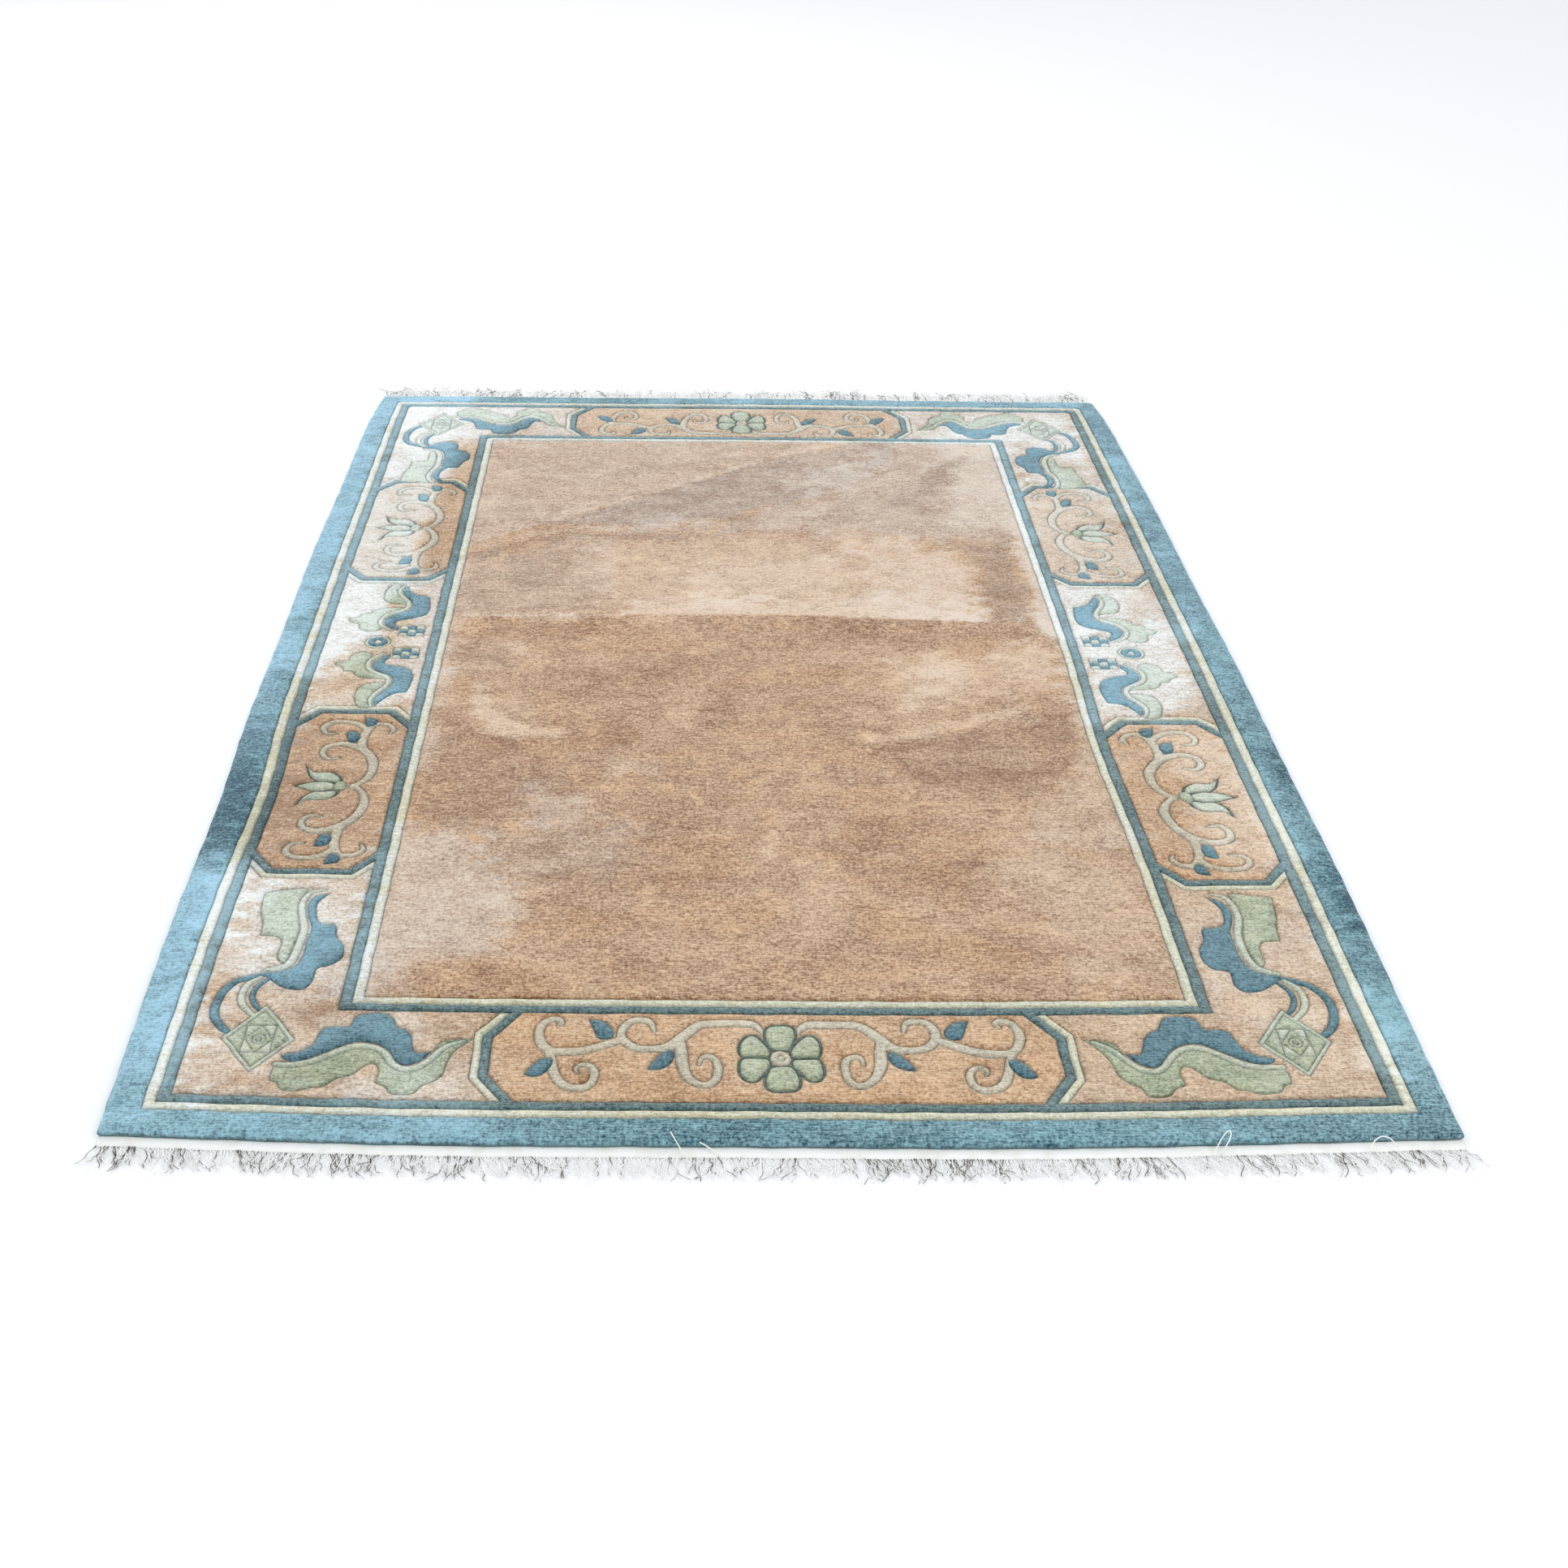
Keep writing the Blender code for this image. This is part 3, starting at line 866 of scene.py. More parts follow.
        # Painted shadow in the carved grooves
        squared = graph.maths("MULTIPLY", groove, groove)
        shade = graph.maths("MULTIPLY", squared, self.painted_groove_shadow)
        dye = graph.mixed(shade, dye, GROOVE_SHADOW, "MULTIPLY")
        graph.feed(shader.inputs["Base Color"], dye)
        graph.bump(shader, self.bump, self.relief, self.summed(graph, noises, RELIEF_WEIGHTS))
        return material


# Each: name, dark and light dye, the colour of the painted sheen, then mottle and stray tint where
# they differ
WOOL_FINISHES: dict[Wool, WoolFinish] = {
    Wool.SLATE: WoolFinish(
        "slate_blue_wool", (26, 70, 86), (160, 200, 208), (174, 218, 240), 0.9, (220, 248, 250)
    ),
    Wool.TEAL: WoolFinish(
        "teal_blue_wool", (40, 74, 86), (124, 160, 170), (146, 190, 208), 0.8, (220, 246, 240)
    ),
    Wool.GUARD: WoolFinish(
        "grey_teal_wool", (46, 72, 78), (140, 161, 159), (156, 190, 200), 0.7, (230, 246, 238)
    ),
    Wool.MOSS: WoolFinish(
        "moss_green_wool", (58, 74, 66), (128, 144, 130), (156, 178, 174), 0.6, (236, 246, 230)
    ),
    Wool.CREAM: WoolFinish("cream_wool", (184, 182, 152), (246, 246, 226), (248, 252, 248), 0.5),
    Wool.TAN: WoolFinish("tan_wool", (130, 88, 58), (236, 204, 170), (234, 218, 202)),
    Wool.ROSE: WoolFinish("rose_beige_wool", (156, 122, 94), (238, 214, 186), (250, 252, 248), 1.0),
    Wool.PEACH: WoolFinish("peach_wool", (154, 113, 76), (242, 210, 175), (240, 236, 226), 1.0),
    Wool.CELADON: WoolFinish(
        "celadon_wool", (116, 128, 100), (206, 212, 184), (228, 238, 226), 1.0, (250, 240, 212)
    ),
    Wool.PALE: WoolFinish(
        "pale_celadon_wool", (160, 170, 148), (224, 230, 210), (240, 246, 238), 0.8
    ),
    Wool.ASH: WoolFinish("ash_beige_wool", (166, 158, 136), (234, 226, 206), (244, 242, 234), 0.8),
}


@dataclass(frozen=True)
class BackFinish:
    """The flat knotted back under one dye lot: rows of small knots with the warps between."""

    name: str
    dye: Colour
    knot_pitch: float = 0.0032
    row_share: float = 1.2
    bump: float = 0.6
    relief: float = 0.0008
    drift_scale: Scale = (9.0, 40.0, 9.0)

    def material(self) -> bpy.types.Material:
        """Builds the shader, with a rise for each knot and painted shade that darkens the dye
        between the knots.
        """
        shine = {"Roughness": 0.95, "Specular IOR Level": 0.1}
        material, graph, shader = new_material(self.name, shine)
        place = graph.place()
        turns = 2 * math.pi / self.knot_pitch
        axes = graph.add("ShaderNodeSeparateXYZ", {0: place})
        across = graph.maths("SINE", graph.maths("MULTIPLY", axes.outputs[0], turns))
        turns *= self.row_share
        along = graph.maths("SINE", graph.maths("MULTIPLY", axes.outputs[1], turns))
        knots = graph.maths("MULTIPLY_ADD", graph.maths("ADD", across, along), 0.25, 0.5)
        drift = graph.noise(place, self.drift_scale, 4.0)
        red, green, blue, _ = linear(self.dye)
        # Painted shade between the knots: half the dye's brightness
        painted_gap_shade = (red * 0.5, green * 0.5, blue * 0.5, 1.0)
        dye = graph.mixed(graph.ranged(knots, 0.1, 0.8, 0.0, 1.0), painted_gap_shade, linear(self.dye))
        dye = graph.mixed(graph.ranged(drift, 0.3, 0.7, 0.0, 0.3), dye, WARP_TONE)
        graph.feed(shader.inputs["Base Color"], dye)
        graph.bump(shader, self.bump, self.relief, knots)
        return material


@dataclass(frozen=True)
class CottonFinish:
    """Undyed cotton, as a tight weave or as loose yarn."""

    name: str
    fresh: Colour
    soiled: Colour
    rib_pitch: float
    bump: float
    relief: float = 0.0006
    rib_wobble: float = 2.5
    wobble_scale: Scale = (120.0, 260.0, 120.0)
    soil_scale: Scale = (38.0, 30.0, 60.0)

    def material(self) -> bpy.types.Material:
        """Builds the shader, with ribs along Y, painted shade in their troughs and a little
        soiling.
        """
        shine = COTTON_SHINE | {"Sheen Weight": 0.15}
        material, graph, shader = new_material(self.name, shine)
        place = graph.place()
        axes = graph.add("ShaderNodeSeparateXYZ", {0: place})
        wobble = graph.noise(place, self.wobble_scale, 3.0)
        turns = 2 * math.pi / self.rib_pitch
        shift = graph.maths("MULTIPLY", wobble, self.rib_wobble)
        phase = graph.maths("MULTIPLY_ADD", axes.outputs[0], turns, shift)
        ribs = graph.maths("MULTIPLY_ADD", graph.maths("SINE", phase), 0.5, 0.5)
        soil = graph.ranged(graph.noise(place, self.soil_scale, 5.0), 0.42, 0.70, 0.0, 0.8)
        dye = graph.mixed(soil, linear(self.fresh), linear(self.soiled))
        # Painted shade in the troughs between the ribs
        dye = graph.mixed(graph.ranged(ribs, 0.0, 0.5, 0.12, 0.0), dye, RIB_SHADOW, "MULTIPLY")
        graph.feed(shader.inputs["Base Color"], dye)
        height = graph.maths("ADD", ribs, graph.maths("MULTIPLY", wobble, 0.7))
        graph.bump(shader, self.bump, self.relief, height)
        return material


@dataclass(frozen=True)
class YarnFinish:
    """Loose white cotton yarn, with a few dark yarns among the clean ones, which paint the shadow
    between the yarns and their soiling.
    """

    name: str
    fresh: Colour
    soiled: Colour
    patch_scale: Scale = (60.0, 70.0, 60.0)
    patch_share: float = 1.2

    def material(self) -> bpy.types.Material:
        """Builds the shader: each yarn's own darkening, as painted shadow and soiling, uneven along
        it.
        """
        material, graph, shader = new_material(self.name, COTTON_SHINE)
        place = graph.place()
        soil = graph.add("ShaderNodeAttribute", attribute_name="soil").outputs["Fac"]
        patch = graph.maths("SUBTRACT", graph.noise(place, self.patch_scale, 3.0), 0.5)
        soil = graph.maths("MULTIPLY_ADD", patch, self.patch_share, soil)
        soil = graph.ranged(soil, 0.40, 0.85, 0.0, 1.0)
        dye = graph.mixed(soil, linear(self.fresh), linear(self.soiled))
        graph.feed(shader.inputs["Base Color"], dye)
        return material


BAND_COTTON = CottonFinish("woven_cotton", (254, 254, 250), (240, 240, 230), 0.0022, 0.3)
# The dark yarn colour paints the shadow between yarns and their soiling
YARN_COTTON = YarnFinish("cotton_yarn", (255, 255, 252), (84, 78, 64))


# The line of the cross fold's edge over the field: a row of places along X, and Y at each
CROSS_FOLD = mm(
    -580, -500, -400, -300, -240, -200, -100, 0, 100, 200, 300, 400, 460, 580,
    118, 118, 113, 110, 118, 125, 124, 127, 123, 119, 115, 111, 108, 105,
    columns=14,
)
CROSS_FOLD_SOFT = 0.0035


@dataclass(frozen=True)
class Shade:
    """A drawn area of painted light and shade on the pile, where light falls on it or the pile
    leans another way: its lean paints the tone lighter or darker, and its painted sheen pales it.

    Drift bends the outline, ragged breaks up its edge, and a shade with a fold side ends at the
    cross fold: 1 is the far side, -1 the near side.
    """

    outline: np.ndarray
    soft: float
    lean: float
    bloom: float
    drift: float = 0.012
    ragged: float = 0.010
    fold_side: int = 0

    def weight(self, points: np.ndarray, unevenness: np.ndarray) -> np.ndarray:
        """How much of the shade there is at each point, from 0 to 1.

        Args:
            points: Rows of x and y.
            unevenness: A number round zero for each point, which breaks up the shade's edge.

        Returns:
            One weight for each point.
        """
        x, y = points.T
        shift_x = np.sin(23 * y + 3 * np.sin(11 * x)) + 0.6 * np.sin(57 * y + 41 * x)
        shift_y = np.sin(19 * x + 3 * np.sin(13 * y)) + 0.6 * np.sin(47 * x - 37 * y)
        moved = points + self.drift * np.stack((shift_x, shift_y), axis=1)
        nearest = np.full(len(points), np.inf)
        for start, end in zip(self.outline, np.roll(self.outline, -1, axis=0)):
            run = end - start
            share = np.clip((moved - start) @ run / (run @ run), 0.0, 1.0)
            nearest = np.minimum(nearest, np.hypot(*(moved - start - share[:, None] * run).T))
        depth = np.where(inside(moved, self.outline), nearest, -nearest)
        depth += self.ragged * unevenness
        weight = smoothstep(0.5 + 0.5 * depth / self.soft)
        if self.fold_side:
            beyond = (y - np.interp(x, *CROSS_FOLD)) / CROSS_FOLD_SOFT
            weight *= smoothstep(0.5 + 0.5 * self.fold_side * beyond)
        return weight


@dataclass(frozen=True)
class Unevenness:
    """A field of numbers round zero that changes slowly along the rows of knots and fast across."""

    waves: int = 26
    quickness: Point = (55.0, 130.0)
    seed: int = 17

    def values(self, points: np.ndarray) -> np.ndarray:
        """The field's number at each point."""
        chance = np.random.default_rng(self.seed)
        turns = chance.normal(0.0, 1.0, (self.waves, 2)) * self.quickness
        starts = chance.uniform(0.0, 2 * np.pi, self.waves)
        return np.sin(points @ turns.T + starts).sum(axis=1) * math.sqrt(2 / self.waves)


# Areas of painted light, shade and sheen. Each outline in millimetres, then how soft its edge is,
# its lean (painted light and shade) and its painted sheen, and where they differ from the usual,
# its drift, its raggedness and its side of the cross fold
SHADES: tuple[Shade, ...] = (
    # The far part of the field, on both sides of the long fold
    Shade(mm(-580, 390, -508, 448, -424, 492, -304, 580, -184, 658, -82, 728, 20, 811, 92, 858,
             188, 902, 260, 960, -580, 960), 0.010, -0.02, 0.44, 0.003, 0.002),
    Shade(mm(-400, 513, -304, 575, -184, 653, -82, 723, 20, 806, 92, 853, 188, 897, 260, 950,
             350, 950, 330, 870, 290, 800, 200, 700, 100, 620, -60, 545, -220, 510), 0.014, -0.78,
             0.60, 0.003, 0.003),
    Shade(mm(-300, 573, -184, 648, -82, 718, 20, 801, 92, 848, 188, 892, 280, 930, 260, 850,
             100, 770, -20, 680, -160, 600), 0.030, -0.06, 0.04, 0.004, 0.006),
    Shade(mm(-420, 500, -304, 584, -184, 662, -82, 732, 20, 815, 92, 862, 188, 906, 188, 916,
             92, 874, 20, 829, -82, 746, -184, 676, -304, 596, -430, 510), 0.006, 0.30, 0.12, 0.002,
             0.003),
    Shade(mm(40, 800, 300, 800, 340, 960, 160, 960, 100, 880), 0.030, 0.48, 0.02, 0.006, 0.008),
    Shade(mm(-300, 500, 0, 550, 150, 650, 330, 900, 360, 960, 580, 960, 580, 460, 400, 450,
             100, 490, -200, 475), 0.040, -0.16, 0.58, 0.010, 0.010),
    Shade(mm(60, 660, 120, 665, 200, 700, 290, 790, 260, 815, 190, 790, 100, 730), 0.026, 0.75,
             0.35, 0.010, 0.018),
    Shade(mm(100, 560, 150, 560, 150, 585, 110, 590), 0.015, 0.30, 0.10, 0.006, 0.010),
    Shade(mm(290, 600, 360, 600, 420, 700, 480, 830, 450, 850, 400, 780, 340, 700), 0.022, -0.52,
             0.00, 0.004, 0.005),
    Shade(mm(360, 740, 390, 765, 430, 830, 460, 870, 445, 875, 410, 830, 375, 775), 0.008, 0.55,
             0.15, 0.003, 0.004),
    Shade(mm(420, 520, 580, 480, 580, 960, 500, 940, 460, 800, 430, 660), 0.030, 0.62, 0.32, 0.010,
             0.010),
    Shade(mm(330, 960, 360, 900, 500, 880, 580, 900, 580, 960), 0.030, 0.55, 0.14, 0.010, 0.010),
    Shade(mm(-580, 385, -508, 432, -424, 474, -340, 497, -240, 507, -100, 520, -100, 505, -240, 487,
             -360, 475, -440, 450, -510, 410, -580, 365), 0.008, 0.24, 0.20, 0.003, 0.004),
    Shade(mm(-580, 360, -530, 385, -460, 432, -400, 456, -300, 470, -200, 465, -60, 470, -60, 450,
             -200, 440, -330, 440, -420, 425, -500, 375, -580, 330), 0.012, -0.66, 0.10, 0.003,
             0.006),
    # The part beyond the cross fold, brightened with painted light
    Shade(mm(-580, 340, -400, 430, -280, 440, -280, 40, -580, 40), 0.030, -0.14, 0.30, 0.010, 0.010,
             1),
    Shade(mm(-500, 280, -470, 380, -400, 390, -380, 300, -420, 240), 0.030, -0.32, 0.08, 0.010,
             0.014),
    Shade(mm(-370, 260, -340, 360, -260, 350, -250, 270), 0.030, 0.25, 0.05, 0.010, 0.014),
    Shade(mm(-320, 440, -60, 465, 120, 455, 340, 445, 410, 400, 435, 300, 430, 200, 430, 60,
             -240, 60, -280, 200), 0.050, 0.32, 0.20, 0.010, 0.012, 1),
    Shade(mm(-240, 60, 440, 60, 440, 190, 200, 195, -50, 200, -220, 175), 0.024, 0.60, 0.36, 0.008,
             0.020, 1),
    Shade(mm(260, 60, 430, 60, 430, 300, 380, 390, 310, 420, 200, 430, 190, 340, 260, 280), 0.045,
             0.42, 0.30, 0.010, 0.024, 1),
    Shade(mm(-100, 200, 180, 200, 180, 340, -50, 360, -180, 300), 0.030, 0.30, 0.18, 0.016, 0.024),
    Shade(mm(190, 180, 260, 170, 260, 270, 200, 290), 0.020, -0.25, 0.00, 0.010, 0.016),
    Shade(mm(-540, 119, -300, 111, -220, 122, -220, 130, -300, 121, -540, 127), 0.004, 0.60, 0.35,
             0.001, 0.0025),
    Shade(mm(-420, 98, -120, 106, -120, 111, -420, 103), 0.004, 0.45, 0.22, 0.001, 0.003),
    Shade(mm(440, 430, 450, 350, 452, 280, 452, 200, 445, 60, 500, 60, 515, 170, 530, 235, 522, 315,
             515, 420), 0.020, -0.48, 0.26, 0.004, 0.008, 1),
    Shade(mm(535, 60, 575, 50, 575, 620, 560, 600, 545, 500, 530, 400, 535, 300, 545, 240,
             530, 170), 0.010, 0.70, 0.60, 0.003, 0.003),
    Shade(mm(500, 100, 515, 140, 540, 100, 575, 40, 575, 90, 540, 150, 520, 170), 0.007, 0.50, 0.35,
             0.002, 0.003),
    # The brown part before it
    Shade(mm(-580, 160, 500, 160, 520, 40, 300, 20, 200, -40, -200, -30, -580, 20), 0.020, -0.02,
             0.00, 0.006, 0.008, -1),
    Shade(mm(50, 160, 500, 160, 480, 40, 360, 0, 220, 30, 50, 60), 0.026, -0.18, 0.00, 0.010, 0.014,
             -1),
    Shade(mm(-500, 160, -270, 160, -280, 50, -500, 50), 0.022, -0.24, 0.00, 0.008, 0.012, -1),
    Shade(mm(-340, 140, 260, 140, 220, -280, -260, -300), 0.070, -0.08, -0.26, 0.020, 0.020),
    Shade(mm(-530, 10, -450, 20, -430, -60, -500, -90, -540, -50), 0.020, -0.32, 0.12, 0.006,
             0.010),
    Shade(mm(-450, 5, -415, 10, -405, -25, -435, -20), 0.008, 0.42, 0.15, 0.004, 0.008),
    Shade(mm(230, -40, 280, -20, 360, -20, 460, 10, 530, 0, 530, -120, 440, -160, 360, -190,
             240, -210, 190, -190, 230, -120), 0.026, 0.40, 0.18, 0.010, 0.020),
    Shade(mm(270, -50, 370, -50, 370, -110, 310, -170, 240, -170), 0.026, 0.38, 0.16, 0.010, 0.024),
    Shade(mm(440, 10, 530, 10, 530, -70, 460, -70), 0.024, 0.26, 0.14, 0.006, 0.014),
    Shade(mm(170, -285, 284, -262, 344, -232, 400, -202, 460, -180, 470, -192, 400, -222, 344, -252,
             284, -282, 180, -305), 0.007, 0.65, 0.16, 0.003, 0.005),
    Shade(mm(190, -310, 290, -285, 350, -255, 410, -222, 460, -200, 540, -200, 530, -300, 500, -385,
             440, -460, 340, -450, 240, -400, 200, -350), 0.012, -0.48, 0.10, 0.004, 0.006),
    Shade(mm(560, -160, 580, -160, 580, -600, 420, -580, 410, -500, 450, -460, 510, -390,
             540, -300), 0.020, 0.12, 0.26, 0.004, 0.008),
    Shade(mm(-495, -130, -475, -130, -455, -210, -430, -245, -385, -270, -320, -265, -320, -288,
             -390, -298, -450, -280, -485, -220), 0.010, 0.62, 0.20, 0.004, 0.006),
    Shade(mm(-455, -170, -400, -160, -390, -235, -430, -240), 0.020, 0.25, 0.10, 0.006, 0.010),
    Shade(mm(-380, -440, -280, -440, -270, -540, -360, -550), 0.020, -0.08, 0.35, 0.008, 0.012),
    Shade(mm(-240, -360, -160, -360, -160, -420, -240, -420), 0.020, 0.10, 0.22, 0.008, 0.012),
    Shade(mm(-420, -560, -220, -540, -200, -660, -340, -700, -420, -660), 0.030, -0.26, 0.28, 0.010,
             0.014),
    Shade(mm(-220, -500, -40, -500, -40, -660, -220, -660), 0.040, -0.26, 0.02, 0.014, 0.018),
    Shade(mm(-540, -300, -400, -310, -380, -520, -520, -540), 0.025, -0.35, 0.08, 0.010, 0.012),
    Shade(mm(-580, -550, -430, -570, -400, -660, -350, -700, -370, -800, -390, -850, -500, -880,
             -580, -920), 0.025, 0.10, 0.52, 0.010, 0.014),
    Shade(mm(-560, -660, -440, -680, -420, -840, -550, -840), 0.030, 0.20, 0.12, 0.012, 0.020),
    Shade(mm(-500, -860, -390, -855, -390, -900, -500, -900), 0.012, -0.25, -0.25, 0.006, 0.008),
    Shade(mm(-580, -860, -520, -880, -490, -950, -580, -950), 0.016, 0.10, 0.40, 0.004, 0.006),
    Shade(mm(75, -490, 30, -508, 3, -555, -10, -620, 2, -620, 18, -560, 40, -523, 75, -505), 0.008,
             0.38, 0.08, 0.003, 0.006),
    Shade(mm(-5, -640, 50, -620, 100, -680, 90, -800, 0, -800), 0.020, 0.25, 0.05, 0.008, 0.014),
    Shade(mm(360, -620, 560, -580, 560, -930, 400, -930, 380, -780), 0.050, 0.14, 0.18, 0.014,
             0.018),
    Shade(mm(90, -520, 330, -500, 340, -680, 120, -700), 0.040, -0.24, 0.00, 0.014, 0.018),
    Shade(mm(-140, -140, -50, -140, -50, -280, -120, -300), 0.030, -0.15, 0.00, 0.010, 0.014),
    Shade(mm(-140, -120, -80, -120, -80, -165, -140, -165), 0.012, 0.35, 0.08, 0.006, 0.010),
    Shade(mm(-580, 120, -540, 120, -540, -400, -580, -400), 0.015, 0.10, 0.35, 0.004, 0.006),
    Shade(mm(-400, -60, -160, -60, -160, -240, -340, -240), 0.040, -0.12, 0.00, 0.014, 0.016),
    Shade(mm(-480, -120, -300, -140, -200, -300, -200, -440, -420, -460), 0.040, -0.22, 0.00, 0.014,
             0.016),
    Shade(mm(-570, -945, 570, -945, 570, -925, -570, -925), 0.012, -0.20, 0.00, 0.004, 0.006),
    # The left border
    Shade(mm(-790, -120, -700, 50, -655, 240, -650, 740, -660, 1150, -790, 1150), 0.020, 0.42, 0.84,
             0.006, 0.006),
    Shade(mm(-900, -60, -790, -60, -790, 1140, -700, 1140, -600, 1250, -900, 1250), 0.060, 0.44,
             0.72, 0.006, 0.020),
    Shade(mm(-790, 240, -700, 240, -680, -20, -740, -120, -790, -100), 0.020, 0.20, 0.30, 0.006,
             0.006),
    Shade(mm(-780, -240, -590, -240, -590, -660, -780, -660), 0.030, -0.45, 0.10, 0.006, 0.008),
    Shade(mm(-900, -100, -790, -100, -790, -320, -900, -320), 0.060, -0.20, 0.42, 0.010, 0.030),
    Shade(mm(-900, -330, -790, -330, -790, -600, -900, -620), 0.060, -1.05, 0.10, 0.010, 0.040),
    Shade(mm(-900, -660, -770, -640, -770, -1120, -900, -1140), 0.050, 0.64, 0.62, 0.008, 0.020),
    Shade(mm(-812, -640, -764, -660, -764, -1060, -812, -1100), 0.012, 0.55, 0.35, 0.004, 0.010),
    Shade(mm(-740, -20, -660, -20, -660, -100, -740, -100), 0.014, 0.40, 0.12, 0.004, 0.006),
    Shade(mm(-790, 740, -640, 740, -640, 980, -790, 1060), 0.030, 0.10, 0.24, 0.006, 0.008),
    Shade(mm(-790, -680, -600, -700, -640, -900, -790, -920), 0.045, 0.24, 0.36),
    Shade(mm(-900, -1140, -400, -1140, -300, -1250, -900, -1250), 0.090, 0.42, 0.34, 0.010, 0.020),
    Shade(mm(-530, -960, -380, -960, -380, -1030, -500, -1030), 0.030, -0.18, 0.02),
    Shade(mm(-500, -1060, -380, -1060, -400, -1140, -560, -1140), 0.030, 0.14, 0.24),
    Shade(mm(-770, -140, -620, -140, -620, -215, -770, -215), 0.020, 0.48, 0.25, 0.004, 0.006),
    Shade(mm(-730, -710, -590, -710, -590, -930, -730, -900), 0.035, 0.26, 0.32, 0.006, 0.010),
    Shade(mm(-740, -940, -630, -940, -630, -1090, -740, -1090), 0.016, 0.30, 0.12, 0.004, 0.006),
    Shade(mm(-790, -980, -660, -1060, -500, -1140, -790, -1140), 0.050, -0.14, 0.14, 0.012, 0.020),
    Shade(mm(-660, -930, -580, -920, -540, -950, -570, -985, -620, -1010, -650, -990), 0.018, -0.45,
             0.00, 0.008, 0.012),
    Shade(mm(-660, -1065, -550, -1055, -540, -1120, -660, -1130), 0.014, -0.40, -0.06, 0.004,
             0.008),
    Shade(mm(-600, -980, -500, -960, -460, -1030, -520, -1020, -560, -1020, -630, -1055), 0.012,
             0.42, 0.22, 0.004, 0.006),
    Shade(mm(-660, -200, -570, -200, -570, 300, -650, 260), 0.030, 0.25, 0.50, 0.008),
    # The far border
    Shade(mm(-700, 900, -400, 945, 400, 945, 660, 720, 790, 620, 790, 1140, 900, 1250, -700, 1250),
             0.030, 0.08, 0.50, 0.010),
    Shade(mm(-380, 970, 360, 970, 360, 1130, -380, 1130), 0.020, -0.16, -0.24, 0.004, 0.006),
    Shade(mm(790, 720, 900, 720, 900, 880, 790, 880), 0.030, 0.36, 0.18, 0.006, 0.010),
    Shade(mm(-790, 900, -600, 940, -440, 1140, -790, 1140), 0.040, 0.45, 0.40, 0.008, 0.010),
    Shade(mm(-620, 1155, -60, 1155, -60, 1250, -620, 1250), 0.040, -0.08, -0.46, 0.010, 0.010),
    Shade(mm(-620, 960, -460, 960, -460, 1050, -600, 1050), 0.016, -0.16, -0.20, 0.004, 0.006),
    Shade(mm(460, 960, 640, 960, 760, 800, 760, 1100, 500, 1100), 0.020, 0.36, 0.34, 0.004, 0.006),
    Shade(mm(-70, 1000, 70, 1000, 70, 1130, -70, 1130), 0.020, 0.20, 0.12, 0.004, 0.006),
    Shade(mm(-650, 720, -590, 720, -590, 280, -650, 280), 0.020, -0.50, 0.10, 0.006, 0.008),
    Shade(mm(560, 50, 790, 80, 790, 660, 660, 760, 560, 720), 0.050, 0.28, 0.50, 0.010),
    Shade(mm(570, 80, 700, 80, 730, 240, 570, 260), 0.020, 0.30, 0.38, 0.006, 0.006),
    # The right border
    Shade(mm(570, -240, 700, -200, 790, -140, 790, 100, 570, 80), 0.050, 0.55, 0.84, 0.010),
    Shade(mm(590, -300, 660, -300, 670, -660, 590, -660), 0.030, -0.28, 0.05, 0.010),
    Shade(mm(680, -240, 780, -240, 780, -660, 700, -660, 670, -450), 0.030, 0.50, 0.26, 0.008),
    Shade(mm(590, -680, 790, -680, 790, -1000, 590, -1000), 0.040, 0.18, 0.10, 0.010, 0.014),
    Shade(mm(630, -940, 740, -940, 740, -1090, 630, -1090), 0.016, 0.30, 0.04, 0.004, 0.006),
    Shade(mm(790, -50, 900, -50, 900, 130, 790, 130), 0.040, 0.28, 0.06, 0.010, 0.020),
    Shade(mm(360, -950, 790, -950, 790, -1150, 360, -1150), 0.040, 0.04, 0.02, 0.010, 0.014),
    Shade(mm(-200, -1150, 160, -1150, 160, -1250, -200, -1250), 0.080, -0.26, 0.00, 0.010, 0.030),
    Shade(mm(200, -1150, 660, -1150, 660, -1250, 200, -1250), 0.060, 0.14, 0.04),
    Shade(mm(660, -1150, 900, -1150, 900, -1250, 660, -1250), 0.060, -0.16, 0.00),
    Shade(mm(764, -280, 812, -280, 812, -1100, 764, -1080), 0.012, 0.70, 0.20, 0.004, 0.010),
    Shade(mm(-60, -985, 60, -985, 60, -1115, -60, -1115), 0.012, 0.34, 0.02, 0.003, 0.004),
    Shade(mm(790, -140, 900, -140, 900, -920, 790, -920), 0.050, -0.30, 0.00, 0.010, 0.050),
    Shade(mm(790, -490, 900, -490, 900, -610, 790, -610), 0.030, 0.44, 0.04, 0.010, 0.020),
    Shade(mm(790, -300, 900, -300, 900, -460, 790, -460), 0.040, -0.28, 0.00, 0.010, 0.030),
    Shade(mm(790, -630, 900, -630, 900, -770, 790, -770), 0.030, -0.75, 0.00, 0.010, 0.040),
    Shade(mm(790, -940, 900, -940, 900, -1100, 790, -1100), 0.040, 0.55, 0.10, 0.010, 0.020),
    Shade(mm(790, 150, 900, 150, 900, 720, 790, 720), 0.050, -0.16, 0.24, 0.010, 0.030),
    Shade(mm(790, 760, 900, 760, 900, 1140, 790, 1140), 0.040, -0.05, 0.22, 0.010, 0.020),
)


# Meshes


